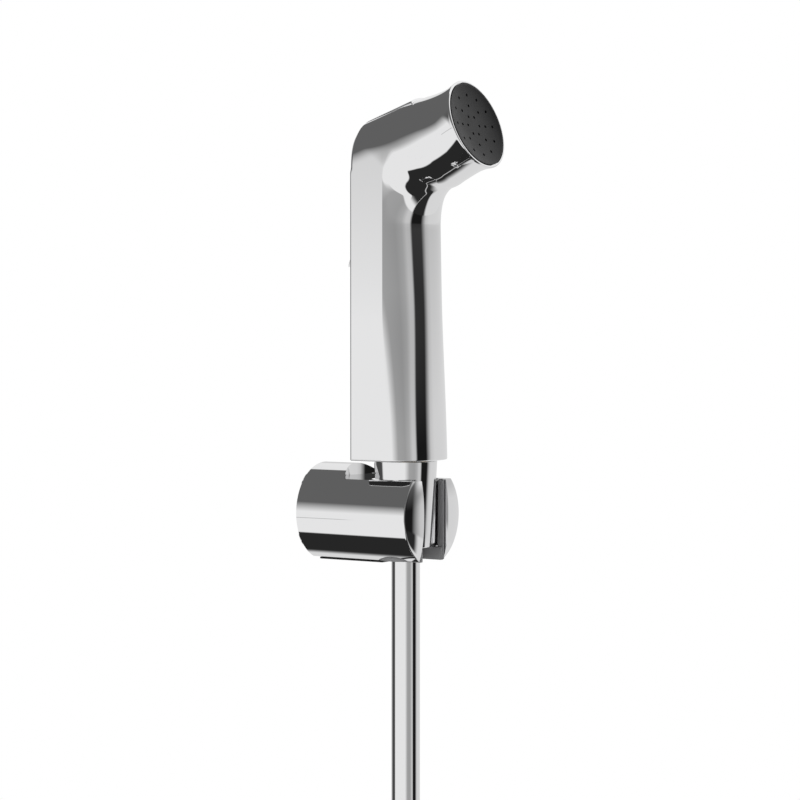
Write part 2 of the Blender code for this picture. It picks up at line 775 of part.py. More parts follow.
def make_valve(parts, brass, steel, rubber):
    """The shut-off valve: a sleeve, a push stem, its spring, its seat ring and its seal."""
    centre = (0, 0, VALVE_Z)
    along = (1, 0, 0)
    bore_start = HOUSING_START + HOUSING_WALL
    turned(
        "valve_housing",
        [
            (STEM_RADIUS + LOOSE, HOUSING_START),
            (HOUSING_RADIUS, HOUSING_START),
            (HOUSING_RADIUS, HOUSING_END),
            (HOUSING_BORE_RADIUS, HOUSING_END),
            (HOUSING_BORE_RADIUS, bore_start),
            (STEM_RADIUS + LOOSE, bore_start),
        ],
        centre,
        along,
        parts,
        brass,
        steps=SMALL_ROUND,
    )
    seat_start = HOUSING_END - SEAT_RING_THICKNESS
    turned(
        "valve_seat_ring",
        [
            (STEM_RADIUS + LOOSE, seat_start),
            (HOUSING_BORE_RADIUS - GAP, seat_start),
            (HOUSING_BORE_RADIUS - GAP, HOUSING_END),
            (STEM_RADIUS + LOOSE, HOUSING_END),
        ],
        centre,
        along,
        parts,
        brass,
        steps=SMALL_ROUND,
    )
    tip_x = BACK_X + LEVER_THICKNESS - LEVER_PROUD + GAP
    collar_x = bore_start + GAP
    collar_end = collar_x + STEM_COLLAR_THICKNESS
    seal_x = HOUSING_END + GAP
    head_x = seal_x + VALVE_SEAL_THICKNESS + GAP
    turned(
        "valve_stem",
        solid_profile(
            (STEM_RADIUS, tip_x),
            (STEM_RADIUS, collar_x),
            (STEM_COLLAR_RADIUS, collar_x),
            (STEM_COLLAR_RADIUS, collar_end),
            (STEM_RADIUS, collar_end),
            (STEM_RADIUS, head_x),
            (STEM_HEAD_RADIUS, head_x),
            (STEM_HEAD_RADIUS, head_x + STEM_HEAD_THICKNESS),
        ),
        centre,
        along,
        parts,
        steel,
        steps=16,
    )
    turned(
        "valve_seal",
        [
            (STEM_RADIUS + GAP, seal_x),
            (VALVE_SEAL_RADIUS, seal_x),
            (VALVE_SEAL_RADIUS, seal_x + VALVE_SEAL_THICKNESS),
            (STEM_RADIUS + GAP, seal_x + VALVE_SEAL_THICKNESS),
        ],
        centre,
        along,
        parts,
        rubber,
        steps=SMALL_ROUND,
    )
    spring_start = collar_end + GAP
    spring(
        "valve_spring",
        (spring_start, 0, VALVE_Z),
        along,
        seat_start - GAP - spring_start,
        0.5 * (STEM_RADIUS + HOUSING_BORE_RADIUS),
        0.0004,
        5,
        parts,
        steel,
    )


def make_inlet(parts, cutters, brass, white, steel, rubber, chrome):
    """The nipple, its check valve, the conical hose nut, the gasket and the hose's ferrule."""
    axis_point = (SEAT_X, 0, 0)
    up = (0, 0, 1)
    ferrule_z = NUT_SHOULDER_Z + GAP
    gasket_z = ferrule_z + FERRULE_THICKNESS + GAP
    nipple_z = gasket_z + GASKET_THICKNESS + GAP
    thread_radius = NUT_THREAD_RADIUS - GAP
    step_z = NUT_TOP_Z
    turned(
        "inlet_nipple",
        [
            (NIPPLE_BORE_RADIUS, nipple_z),
            (thread_radius - 0.0006, nipple_z),
            (thread_radius, nipple_z + 0.0006),
            (thread_radius, step_z),
            (NIPPLE_SPIGOT_RADIUS, step_z),
            (NIPPLE_SPIGOT_RADIUS, NIPPLE_TOP_Z),
            (NIPPLE_EXIT_RADIUS, NIPPLE_TOP_Z),
            (NIPPLE_EXIT_RADIUS, nipple_z + GAP + CHECK_LENGTH + GAP),
            (NIPPLE_BORE_RADIUS, nipple_z + GAP + CHECK_LENGTH + GAP),
        ],
        axis_point,
        up,
        parts,
        brass,
    )
    check_z = nipple_z + GAP
    seat_top = check_z + CHECK_SEAT_THICKNESS
    check_top = check_z + CHECK_LENGTH
    cap_z = check_top - CHECK_TOP_THICKNESS
    turned(
        "check_valve_body",
        [
            (CHECK_SEAT_RADIUS, check_z),
            (NIPPLE_BORE_RADIUS - GAP, check_z),
            (NIPPLE_BORE_RADIUS - GAP, check_top),
            (CHECK_TOP_HOLE_RADIUS, check_top),
            (CHECK_TOP_HOLE_RADIUS, cap_z),
            (CHECK_BORE_RADIUS, cap_z),
            (CHECK_BORE_RADIUS, seat_top),
            (CHECK_SEAT_RADIUS, seat_top),
        ],
        axis_point,
        up,
        parts,
        white,
        steps=SMALL_ROUND,
    )
    poppet_z = seat_top + GAP
    poppet_top = poppet_z + POPPET_THICKNESS
    turned(
        "check_valve_poppet",
        solid_profile(
            (POPPET_RADIUS, poppet_z),
            (POPPET_RADIUS, poppet_top),
            (POPPET_STEM_RADIUS, poppet_top),
            (POPPET_STEM_RADIUS, poppet_top + POPPET_STEM_LENGTH),
        ),
        axis_point,
        up,
        parts,
        white,
        steps=16,
    )
    spring(
        "check_valve_spring",
        (SEAT_X, 0, poppet_top + GAP),
        up,
        cap_z - poppet_top - 2 * GAP,
        0.5 * (POPPET_STEM_RADIUS + CHECK_BORE_RADIUS),
        0.0003,
        4,
        parts,
        steel,
    )
    turned(
        "hose_nut",
        [
            (HOSE_RADIUS + LOOSE, NUT_BOTTOM_Z),
            (NUT_BOTTOM_RADIUS - NUT_EDGE, NUT_BOTTOM_Z),
            (NUT_BOTTOM_RADIUS, NUT_BOTTOM_Z + NUT_EDGE),
            (NUT_TOP_RADIUS, NUT_TOP_Z - NUT_EDGE),
            (NUT_TOP_RADIUS - NUT_EDGE, NUT_TOP_Z),
            (NUT_THREAD_RADIUS, NUT_TOP_Z),
            (NUT_THREAD_RADIUS, NUT_SHOULDER_Z),
            (HOSE_RADIUS + LOOSE, NUT_SHOULDER_Z),
        ],
        axis_point,
        up,
        parts,
        chrome,
    )
    turned(
        "hose_ferrule",
        [
            (GASKET_HOLE_RADIUS, ferrule_z),
            (thread_radius, ferrule_z),
            (thread_radius, ferrule_z + FERRULE_THICKNESS),
            (GASKET_HOLE_RADIUS, ferrule_z + FERRULE_THICKNESS),
        ],
        axis_point,
        up,
        parts,
        brass,
        steps=SMALL_ROUND,
    )
    turned(
        "hose_gasket",
        [
            (GASKET_HOLE_RADIUS, gasket_z),
            (thread_radius, gasket_z),
            (thread_radius, gasket_z + GASKET_THICKNESS),
            (GASKET_HOLE_RADIUS, gasket_z + GASKET_THICKNESS),
        ],
        axis_point,
        up,
        parts,
        rubber,
        steps=SMALL_ROUND,
    )


def nut_radius(z):
    """The hose nut's outside radius at a height."""
    share = (z - NUT_BOTTOM_Z) / (NUT_TOP_Z - NUT_BOTTOM_Z)
    return NUT_BOTTOM_RADIUS + (NUT_TOP_RADIUS - NUT_BOTTOM_RADIUS) * share


def make_holder(parts, cutters, chrome):
    """The holder's one-piece body: cylinder, domed front, flats, conical seat and hose slot."""
    profile = [(0.0, 0.0), (HOLDER_RADIUS, 0.0), (HOLDER_RADIUS, HOLDER_LENGTH - RIM_BEVEL)]
    dome_radius = HOLDER_RADIUS - RIM_BEVEL
    for i in range(DOME_STEPS + 1):
        share = 1 - i / DOME_STEPS
        profile.append((dome_radius * share, HOLDER_LENGTH + DOME_HEIGHT * (1 - share**2)))
    body = turned("holder_body", profile, (0, 0, 0), (1, 0, 0), parts, chrome, steps=48)
    far = HOLDER_LENGTH + DOME_HEIGHT + 0.01
    wide = HOLDER_RADIUS + 0.01
    cut(body, box("top_flat_cut", (TOP_FLAT_START, -wide, TOP_FLAT_Z), (far, wide, wide), cutters))
    cut(body, box("under_flat_cut", (-0.01, -wide, -wide), (far, wide, UNDER_FLAT_Z), cutters))
    low = NUT_BOTTOM_Z - GAP
    seat = turned(
        "seat_cut",
        solid_profile(
            (nut_radius(low) + GAP, -wide),
            (nut_radius(low) + GAP, low),
            (nut_radius(TOP_FLAT_Z - MOUTH_BEVEL) + GAP, TOP_FLAT_Z - MOUTH_BEVEL),
            (nut_radius(TOP_FLAT_Z) + GAP + MOUTH_BEVEL, TOP_FLAT_Z),
            (nut_radius(TOP_FLAT_Z) + GAP + MOUTH_BEVEL, wide),
        ),
        (SEAT_X, 0, 0),
        (0, 0, 1),
        cutters,
    )
    cut(body, seat)
    half_slot = 0.5 * SLOT_WIDTH
    cut(body, box("slot_cut", (SEAT_X, -half_slot, -wide), (far, half_slot, wide), cutters))
    hub_depth = PLATE_THICKNESS + HUB_LENGTH + GAP
    cavity = turned(
        "cavity_cut",
        solid_profile(
            (PLATE_RADIUS + GAP, -0.01),
            (PLATE_RADIUS + GAP, CAVITY_DEPTH),
            (HUB_RADIUS + GAP, CAVITY_DEPTH),
            (HUB_RADIUS + GAP, hub_depth),
        ),
        (0, 0, 0),
        (1, 0, 0),
        cutters,
    )
    cut(body, cavity)
    grub = cylinder(
        "grub_cut", GRUB_RADIUS + GAP, (GRUB_X, 0, -wide), (GRUB_X, 0, -0.5 * HUB_RADIUS), cutters, steps=16
    )
    cut(body, grub)
    return body


def make_seat_collar(parts, cutters, grey):
    """The horseshoe under the cone, with arms that line the foot of the slot."""
    top = NUT_BOTTOM_Z - GAP
    outer = nut_radius(top)
    front = SEAT_X + COLLAR_ARM_LENGTH
    arm = 0.5 * SLOT_WIDTH - GAP
    collar = cylinder(
        "seat_collar", outer, (SEAT_X, 0, UNDER_FLAT_Z), (SEAT_X, 0, top), parts, grey
    )
    cut(collar, box("collar_arms", (SEAT_X, -arm, UNDER_FLAT_Z), (front, arm, top), cutters), "UNION")
    beyond = 0.005
    hole = cylinder(
        "collar_hole",
        COLLAR_HOLE_RADIUS,
        (SEAT_X, 0, UNDER_FLAT_Z - beyond),
        (SEAT_X, 0, top + beyond),
        cutters,
    )
    cut(collar, hole)
    low = (SEAT_X, -COLLAR_HOLE_RADIUS, UNDER_FLAT_Z - beyond)
    high = (front + beyond, COLLAR_HOLE_RADIUS, top + beyond)
    cut(collar, box("collar_slot", low, high, cutters))
    return collar


def make_wall_fixing(parts, cutters, steel, grey, black):
    """The wall plate, its two screws, the grub screw and the strip that covers it."""
    plate = turned(
        "wall_plate",
        solid_profile(
            (PLATE_RADIUS, 0.0),
            (PLATE_RADIUS, PLATE_THICKNESS),
            (HUB_RADIUS, PLATE_THICKNESS),
            (HUB_RADIUS, PLATE_THICKNESS + HUB_LENGTH),
        ),
        (0, 0, 0),
        (1, 0, 0),
        parts,
        grey,
    )
    grub_top = -HUB_RADIUS + 0.0012
    flat_reach = GRUB_RADIUS + LOOSE
    notch = box(
        "hub_notch",
        (GRUB_X - flat_reach, -HUB_RADIUS, -2 * HUB_RADIUS),
        (GRUB_X + flat_reach, HUB_RADIUS, grub_top),
        cutters,
    )
    cut(plate, notch)
    for number, side in ((1, 1), (2, -1)):
        z = side * SCREW_OFFSET
        reach = (0.01, 0, z)
        hole = cylinder(
            f"screw_hole_{number}", SCREW_RADIUS + GAP, (-0.01, 0, z), reach, cutters, steps=16
        )
        cut(plate, hole)
        head_x = PLATE_THICKNESS + GAP
        screw = turned(
            f"wall_screw_{number}",
            solid_profile(
                (0.0004, head_x - SCREW_LENGTH),
                (SCREW_RADIUS, head_x - SCREW_LENGTH + 0.004),
                (SCREW_RADIUS, head_x),
                (SCREW_HEAD_RADIUS, head_x),
                (SCREW_HEAD_RADIUS, head_x + 0.5 * SCREW_HEAD_HEIGHT),
                (0.6 * SCREW_HEAD_RADIUS, head_x + SCREW_HEAD_HEIGHT),
            ),
            (0, 0, z),
            (1, 0, 0),
            parts,
            steel,
            steps=16,
        )
        drive = cylinder(
            f"drive_cut_{number}",
            0.4 * SCREW_HEAD_RADIUS,
            (head_x + 0.4 * SCREW_HEAD_HEIGHT, 0, z),
            (head_x + 2 * SCREW_HEAD_HEIGHT, 0, z),
            cutters,
            steps=6,
        )
        cut(screw, drive)
    grub_low = grub_top - GAP - GRUB_LENGTH
    grub = cylinder(
        "grub_screw", GRUB_RADIUS, (GRUB_X, 0, grub_low), (GRUB_X, 0, grub_top - GAP), parts, steel, steps=16
    )
    socket = cylinder(
        "grub_socket",
        0.5 * GRUB_RADIUS,
        (GRUB_X, 0, grub_low - 0.002),
        (GRUB_X, 0, grub_low + 0.25 * GRUB_LENGTH),
        cutters,
        steps=6,
    )
    cut(grub, socket)
    cover_top = UNDER_FLAT_Z - GAP
    cover = box(
        "underside_cover",
        (COVER_START, -COVER_HALF_WIDTH, cover_top - COVER_THICKNESS),
        (COVER_END, COVER_HALF_WIDTH, cover_top),
        parts,
        black,
    )
    cover_bevel = cover.modifiers.new("edge", "BEVEL")
    cover_bevel.width = 0.0003
    cover_bevel.segments = 1


def sweep_points(count):
    """The hose's sideways sweep from straight below the nut to above the coil's side."""
    points = []
    for i in range(count + 1):
        share = i / count
        z = SWEEP_START_Z + (SWEEP_END_Z - SWEEP_START_Z) * share
        y = -COIL_RADIUS * (share**3 * (10 - 15 * share + 6 * share * share))
        points.append(Vector((SEAT_X, y, z)))
    return points


def make_hose(parts, cutters, metal, brass, rubber, black):
    """The hose down to its coil, the coil, its tie, the tail and the outlet end's fittings."""
    top = Vector((SEAT_X, 0, NUT_SHOULDER_Z))
    straight = [top + (Vector((SEAT_X, 0, SWEEP_START_Z)) - top) * (i / 5) for i in range(5)]
    clear = COIL_RADIUS + COIL_WALL + GAP
    approach = math.sqrt(clear**2 - (COIL_RADIUS - HOSE_RADIUS) ** 2)
    join = Vector((SEAT_X, -COIL_RADIUS, COIL_CENTRE_Z + approach))
    tube("hose", straight + sweep_points(14) + [join], HOSE_RADIUS, parts, metal)
    half_span = 0.5 * COIL_TURNS * COIL_LANE + HOSE_RADIUS + GAP
    middle = SEAT_X - 0.5 * COIL_TURNS * COIL_LANE
    turned(
        "hose_coil",
        [
            (COIL_RADIUS - COIL_WALL, -half_span),
            (COIL_RADIUS + COIL_WALL, -half_span),
            (COIL_RADIUS + COIL_WALL, half_span),
            (COIL_RADIUS - COIL_WALL, half_span),
        ],
        (middle, 0, COIL_CENTRE_Z),
        (1, 0, 0),
        parts,
        metal,
    )
    half_tie = 0.5 * TIE_WIDTH
    inner_low = COIL_CENTRE_Z + math.sqrt((COIL_RADIUS - COIL_WALL) ** 2 - half_tie**2) - GAP
    outer_high = COIL_CENTRE_Z + COIL_RADIUS + COIL_WALL + GAP
    reach = half_span + GAP
    tie = box(
        "hose_tie",
        (middle - reach - TIE_THICKNESS, -half_tie, inner_low - TIE_THICKNESS),
        (middle + reach + TIE_THICKNESS, half_tie, outer_high + TIE_THICKNESS),
        parts,
        black,
    )
    inside = box(
        "tie_cut",
        (middle - reach, -TIE_WIDTH, inner_low),
        (middle + reach, TIE_WIDTH, outer_high),
        cutters,
    )
    cut(tie, inside)
    tail_x = SEAT_X - COIL_TURNS * COIL_LANE
    tail_top = Vector((tail_x, -COIL_RADIUS, COIL_CENTRE_Z - approach))
    tail_end = Vector((tail_x, -COIL_RADIUS, TAIL_END_Z))
    tube("hose_tail", [tail_top, (tail_top + tail_end) / 2, tail_end], HOSE_RADIUS, parts, metal)
    flange_z = TAIL_END_Z - GAP
    washer_z = flange_z - FERRULE_THICKNESS - GAP
    foot = (tail_x, -COIL_RADIUS, 0)
    up = (0, 0, 1)
    turned(
        "outlet_ferrule",
        [
            (GASKET_HOLE_RADIUS, flange_z - FERRULE_THICKNESS),
            (FAR_THREAD_RADIUS - GAP, flange_z - FERRULE_THICKNESS),
            (FAR_THREAD_RADIUS - GAP, flange_z),
            (GASKET_HOLE_RADIUS, flange_z),
        ],
        foot,
        up,
        parts,
        brass,
        steps=SMALL_ROUND,
    )
    turned(
        "outlet_washer",
        [
            (GASKET_HOLE_RADIUS, washer_z - GASKET_THICKNESS),
            (FAR_THREAD_RADIUS - GAP, washer_z - GASKET_THICKNESS),
            (FAR_THREAD_RADIUS - GAP, washer_z),
            (GASKET_HOLE_RADIUS, washer_z),
        ],
        foot,
        up,
        parts,
        rubber,
        steps=SMALL_ROUND,
    )
    nut_top = flange_z + GAP + 0.003
    nut = cylinder(
        "outlet_nut",
        FAR_NUT_RADIUS,
        (tail_x, -COIL_RADIUS, nut_top - FAR_NUT_LENGTH),
        (tail_x, -COIL_RADIUS, nut_top),
        parts,
        brass,
        steps=6,
        origin=(tail_x, -COIL_RADIUS, nut_top),
    )
    bore = turned(
        "outlet_nut_cut",
        solid_profile(
            (FAR_THREAD_RADIUS, nut_top - FAR_NUT_LENGTH - 0.005),
            (FAR_THREAD_RADIUS, flange_z + GAP),
            (HOSE_RADIUS + LOOSE, flange_z + GAP),
            (HOSE_RADIUS + LOOSE, nut_top + 0.005),
        ),
        foot,
        up,
        cutters,
        steps=SMALL_ROUND,
    )
    cut(nut, bore)


def main():
    clear_scene()
    parts = new_collection("bidet_spray")
    cutters = new_collection("cutters")
    chrome = material("chrome", (0.86, 0.86, 0.87), 0.06, 1.0)
    hose_metal = material("hose_chrome", (0.84, 0.84, 0.85), 0.12, 1.0)
    brass = material("brass", (0.78, 0.6, 0.32), 0.3, 1.0)
    steel = material("steel", (0.66, 0.66, 0.67), 0.3, 1.0)
    black = material("black_plastic", (0.03, 0.03, 0.03), 0.45, 0.0)
    grey = material("grey_plastic", (0.3, 0.3, 0.31), 0.5, 0.0)
    white = material("white_plastic", (0.8, 0.8, 0.79), 0.45, 0.0)
    rubber = material("rubber", (0.04, 0.04, 0.04), 0.8, 0.0)
    make_body(parts, cutters, chrome)
    make_lever(parts, cutters, chrome, steel)
    make_face(parts, cutters, black, rubber)
    make_valve(parts, brass, steel, rubber)
    make_inlet(parts, cutters, brass, white, steel, rubber, chrome)
    make_holder(parts, cutters, chrome)
    make_seat_collar(parts, cutters, grey)
    make_wall_fixing(parts, cutters, steel, grey, black)
    make_hose(parts, cutters, hose_metal, brass, rubber, black)


main()
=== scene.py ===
"""Looks of the bidet hand spray, its wall holder and its hose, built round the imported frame.

Metres, +Z up, in the frame's own axes: +X along the holder's axis, away from the wall.
"""

import json
import math

import bmesh
import bpy
from mathutils import Matrix, Vector


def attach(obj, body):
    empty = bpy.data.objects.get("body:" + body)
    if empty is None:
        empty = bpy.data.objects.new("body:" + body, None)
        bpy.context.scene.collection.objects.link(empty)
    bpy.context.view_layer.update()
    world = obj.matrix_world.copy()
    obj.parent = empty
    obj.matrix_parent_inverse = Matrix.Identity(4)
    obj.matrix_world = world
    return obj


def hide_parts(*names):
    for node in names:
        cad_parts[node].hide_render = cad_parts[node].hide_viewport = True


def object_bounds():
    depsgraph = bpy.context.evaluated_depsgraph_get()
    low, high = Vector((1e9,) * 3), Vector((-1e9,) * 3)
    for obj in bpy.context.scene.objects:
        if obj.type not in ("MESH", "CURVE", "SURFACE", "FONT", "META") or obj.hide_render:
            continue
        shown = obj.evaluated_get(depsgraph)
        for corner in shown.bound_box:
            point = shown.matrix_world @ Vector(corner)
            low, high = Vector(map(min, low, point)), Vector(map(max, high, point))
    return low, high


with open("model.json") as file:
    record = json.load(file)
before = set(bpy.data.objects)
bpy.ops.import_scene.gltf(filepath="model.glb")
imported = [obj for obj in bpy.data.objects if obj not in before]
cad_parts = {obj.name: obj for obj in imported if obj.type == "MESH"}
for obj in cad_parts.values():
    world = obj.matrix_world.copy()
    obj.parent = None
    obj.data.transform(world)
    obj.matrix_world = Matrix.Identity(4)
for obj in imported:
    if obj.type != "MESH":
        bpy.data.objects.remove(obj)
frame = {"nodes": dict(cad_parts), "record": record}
cad_low, cad_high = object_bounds()

# Camera, at the photograph's angle
CAMERA_PLACE = Vector((0.6366, -0.8749, 0.0796))
CAMERA_AZIMUTH = math.radians(34.35)
CAMERA_ELEVATION = math.radians(1.73)
CAMERA_LENS = 114.3
SENSOR_WIDTH = 36.0

# Clearances, and how far cutters reach past what they cut
GAP = 0.0003
LOOSE = 0.0004
CUT_PAST = 0.0100
BORE_PAST = 0.0050
RECESS_PAST = 0.0040

# Holder
HOLDER_RADIUS = 0.0207
HOLDER_LENGTH = 0.0547
DOME_HEIGHT = 0.0024
DOME_POWER = 3.0
RIM_BEVEL = 0.0006
TOP_FLAT_Z = 0.0147
TOP_NOTCH_RADIUS = 0.0253
UNDER_FLAT_Z = -0.0190
SLOT_WIDTH = 0.0180
SEAT_X = 0.0415
MOUTH_BEVEL = 0.0011
HOLDER_EDGE = 0.00025
PLATE_THICKNESS = 0.0030
HUB_RADIUS = 0.0080
HUB_LENGTH = 0.0100
CAVITY_RADIUS = 0.0185
CAVITY_DEPTH = 0.0062
GRUB_X = 0.0095
GRUB_RADIUS = 0.0020

# Hose nut
NUT_TOP_Z = 0.0224
NUT_BOTTOM_Z = -0.0135
NUT_TOP_RADIUS = 0.0132
NUT_BOTTOM_RADIUS = 0.0112
NUT_THREAD_RADIUS = 0.0107
NUT_SHOULDER_Z = 0.0020
NUT_EDGE = 0.0004

# Seat collar, and its lining: dark grey strips up the slot's sides that are painted shade and painted
# reflection
COLLAR_HOLE_RADIUS = 0.0068
COLLAR_ARM_LENGTH = 0.0132
COLLAR_EDGE = 0.0002
# The lining's strips are dark sheets that paint the slot's shade and dark reflections onto its walls
SHADE_LINING_THICKNESS = 0.0009
SHADE_LINING_LENGTH = 0.0022
SHADE_LINING_PAST = 0.0004

# Handle; LEAST_CORNER is the least share of the half width that the back keeps
NIPPLE_TOP_Z = 0.0370
NIPPLE_SPIGOT_RADIUS = 0.0090
BODY_BOTTOM_Z = NUT_TOP_Z + LOOSE
HANDLE_LENGTH = 0.0974
BACK_X = 0.0274
CREASE_X = 0.0440
NOSE_X_TOP = 0.0539
NOSE_SLOPE = 0.0331
HALF_WIDTH = 0.0207
NOSE_POWER = 2.2
CREASE_LENGTH = 0.0272
FOOT_ROUNDNESS = 1.5
EDGE_RADIUS = 0.0013
LEAST_CORNER = 0.3
FOOT_EDGE = 0.0005

# Head
HEAD_TILT = math.radians(18.8)
FACE_X = 0.0767
FACE_RISE = 0.0406
NECK_RADIUS = 0.0179
NECK_BACK = 0.0085
RIM_RADIUS = 0.0192
RIM_ROUND = 0.0008
FLARE_POWER = 1.9
WIDTH_TAPER_BACK = 0.0400
HEIGHT_TAPER_BACK = 0.0260
CROWN_HEIGHT = 0.0192
CROWN_POWER = 2.3
NOSE_BLEND = 0.0120
BLEND_POWER = 1.5
BLEND_FADE = 0.5
THROAT_BELLY = 0.0008
BELLY_START = 0.35
BEND_X = 0.0728
CROWN_FILLET = 0.0040
CHAMBER_RADIUS = 0.0146
CHAMBER_DEPTH = 0.0260
WATERWAY_RADIUS = 0.0060

# Spray face
FACE_RADIUS = 0.0178
FACE_THICKNESS = 0.0028
FACE_PROUD = 0.0002
FACE_EDGE = 0.0003
FACE_WALL = 0.0018
DISH_DEPTH = 0.0019
DISH_POWER = 3.0
SPIGOT_RADIUS = 0.0124
SPIGOT_LENGTH = 0.0075
NOZZLE_RADIUS = 0.00062
NOZZLE_RINGS = ((0.0042, 6), (0.0085, 8), (0.0130, 12))

# Thumb lever
LEVER_HALF_WIDTH = 0.0110
LEVER_PROUD = 0.0001
LEVER_THICKNESS = 0.0016
LEVER_KICK = 0.0072
KICK_DROP = 0.0022
KICK_LENGTH = 0.0150
LEVER_HEAD_RUN = 0.0227
LEVER_SWING = math.radians(4.0)
LEVER_SEAM = 0.00015
LEVER_EDGE = 0.0002
RECESS_LAP = 0.0030
LUG_RADIUS = 0.0026
LUG_WIDTH = 0.0050
WEB_RADIUS = 0.8 * LUG_RADIUS
PIN_RADIUS = 0.0011
PIN_LENGTH = 0.0160
PIN_DEPTH = 0.0040

# Shut-off valve's bore
VALVE_RISE = 0.0078
HOUSING_RADIUS = 0.0062
HOUSING_END = 0.0466
VALVE_CHAMBER_END = 0.0526
VALVE_CHAMBER_RADIUS = 0.0054

# Hose, tie and far nut; TOP_OF_TURN is the share of a turn after which the coil is at its top
HOSE_RADIUS = 0.0060
COIL_RADIUS = 0.0700
COIL_CENTRE_Z = -0.2850
COIL_TURNS = 2
COIL_LANE = 0.0126
SWEEP_START_Z = -0.1220
SWEEP_END_Z = -0.2400
TAIL_END_Z = -0.3580
TIE_WIDTH = 0.0100
TIE_THICKNESS = 0.0012
TOP_OF_TURN = 0.75
FAR_NUT_RADIUS = 0.0122
FAR_NUT_LENGTH = 0.0160
FAR_NUT_LIP = 0.0030
FAR_NUT_CHAMFER = 0.0009
FAR_NUT_EDGE = 0.00015
CHAMFER_PAST = 0.0001
FAR_THREAD_RADIUS = 0.0104

# Heights that follow the handle's length
BEND_Z = BODY_BOTTOM_Z + HANDLE_LENGTH
CREASE_FADE_Z = BEND_Z - CREASE_LENGTH
FACE_Z = BEND_Z + FACE_RISE
LEVER_KICK_TOP_Z = BEND_Z - KICK_DROP
LEVER_END_Z = LEVER_KICK_TOP_Z - KICK_LENGTH
RECESS_END_Z = LEVER_END_Z + RECESS_LAP
VALVE_Z = BEND_Z + VALVE_RISE

# Directions and distances of the bend and the head
UP_THE_HEAD = Vector((math.cos(HEAD_TILT), 0, math.sin(HEAD_TILT)))
ABOVE_THE_HEAD = Vector((-math.sin(HEAD_TILT), 0, math.cos(HEAD_TILT)))
BEND = Vector((BEND_X, 0, BEND_Z))
FACE = Vector((FACE_X, 0, FACE_Z))
BEND_ANGLE = math.pi / 2 - HEAD_TILT
AXIS_HEIGHT = (FACE - BEND).dot(ABOVE_THE_HEAD)
HEAD_RUN = (FACE - BEND).dot(UP_THE_HEAD)

# Fineness
HOLDER_ROUND = 192
ROUND = 160
FAR_NUT_ROUND = 96
SMALL_ROUND = 64
PIN_ROUND = 32
NOZZLE_ROUND = 16
HOSE_ROUND = 14
BACK_POINTS = 16
CORNER_POINTS = 5
SIDE_POINTS = 24
NOSE_POINTS = 44
DISH_POINTS = 32
DOME_POINTS = 24
FOOT_LEVELS = 4
HANDLE_LEVELS = 48
BEND_LEVELS = 84
HEAD_LEVELS = 8
FLARE_LEVELS = 16
RIM_LEVELS = 8
SHARP_ANGLE = math.radians(28)
EDGE_ANGLE = math.radians(35)
HOLDER_EDGE_ANGLE = math.radians(40)
LEVER_EDGE_ANGLE = math.radians(60)

# Axes, and values that only have to be very long or very small
X_AXIS = Vector((1, 0, 0))
Y_AXIS = Vector((0, 1, 0))
UP = Vector((0, 0, 1))
FAR_OFF = 1.0
TINY = 1e-9


def make_camera():
    """The camera at the photograph's place and angle."""
    data = bpy.data.cameras.new("camera")
    data.lens = CAMERA_LENS
    data.sensor_width = SENSOR_WIDTH
    camera = bpy.data.objects.new("camera", data)
    camera.location = CAMERA_PLACE
    camera.rotation_euler = (math.pi / 2 - CAMERA_ELEVATION, 0, CAMERA_AZIMUTH)
    bpy.context.scene.collection.objects.link(camera)
    bpy.context.scene.camera = camera


def resharpen(obj):
    """Smooth shading with crisp edges; the object's points stay as they are."""
    obj.data.shade_smooth()
    obj.data.set_sharp_from_angle(angle=SHARP_ANGLE)


def place(name, build, material=None, smooth_shade=True):
    """An object with the mesh that build fills through a bmesh, its points in the frame."""
    work = bmesh.new()
    build(work)
    bmesh.ops.recalc_face_normals(work, faces=work.faces)
    mesh = bpy.data.meshes.new(name)
    work.to_mesh(mesh)
    work.free()
    obj = bpy.data.objects.new(name, mesh)
    bpy.context.scene.collection.objects.link(obj)
    if material:
        mesh.materials.append(material)
    if smooth_shade:
        resharpen(obj)
    return obj


def turned(name, profile, axis_point, axis, material=None, steps=ROUND):
    """A turned piece: profile is (radius, height) pairs, height along axis from axis_point."""
    axis_point = Vector(axis_point)
    turn = UP.rotation_difference(Vector(axis))
    ring = min(radius for radius, _ in profile) > 0

    def build(work):
        loops = []
        for radius, height in profile:
            if radius <= 0:
                loops.append([work.verts.new(axis_point + turn @ (UP * height))] * steps)
                continue
            loop = []
            for i in range(steps):
                angle = 2 * math.pi * i / steps
                spot = Vector((radius * math.cos(angle), radius * math.sin(angle), height))
                loop.append(work.verts.new(axis_point + turn @ spot))
            loops.append(loop)
        pairs = list(zip(loops, loops[1:]))
        if ring:
            pairs.append((loops[-1], loops[0]))
        for near, far in pairs:
            for i in range(steps):
                j = (i + 1) % steps
                corners = []
                for vert in (near[i], near[j], far[j], far[i]):
                    if vert not in corners:
                        corners.append(vert)
                if len(corners) > 2:
                    work.faces.new(corners)

    return place(name, build, material)


def solid_profile(*pairs):
    """An open turned profile, closed to the axis at both ends."""
    return [(0.0, pairs[0][1]), *pairs, (0.0, pairs[-1][1])]


def cylinder(name, radius, start, end, material=None, steps=ROUND):
    """A round bar between two points."""
    start, end = Vector(start), Vector(end)
    profile = solid_profile((radius, 0.0), (radius, (end - start).length))
    return turned(name, profile, start, end - start, material, steps)


def box(name, low, high, material=None):
    """A block between two corners."""
    low, high = Vector(low), Vector(high)
    size = Matrix.Diagonal((*(high - low), 1.0))

    def build(work):
        bmesh.ops.create_cube(work, size=1.0, matrix=Matrix.Translation((low + high) / 2) @ size)

    return place(name, build, material)


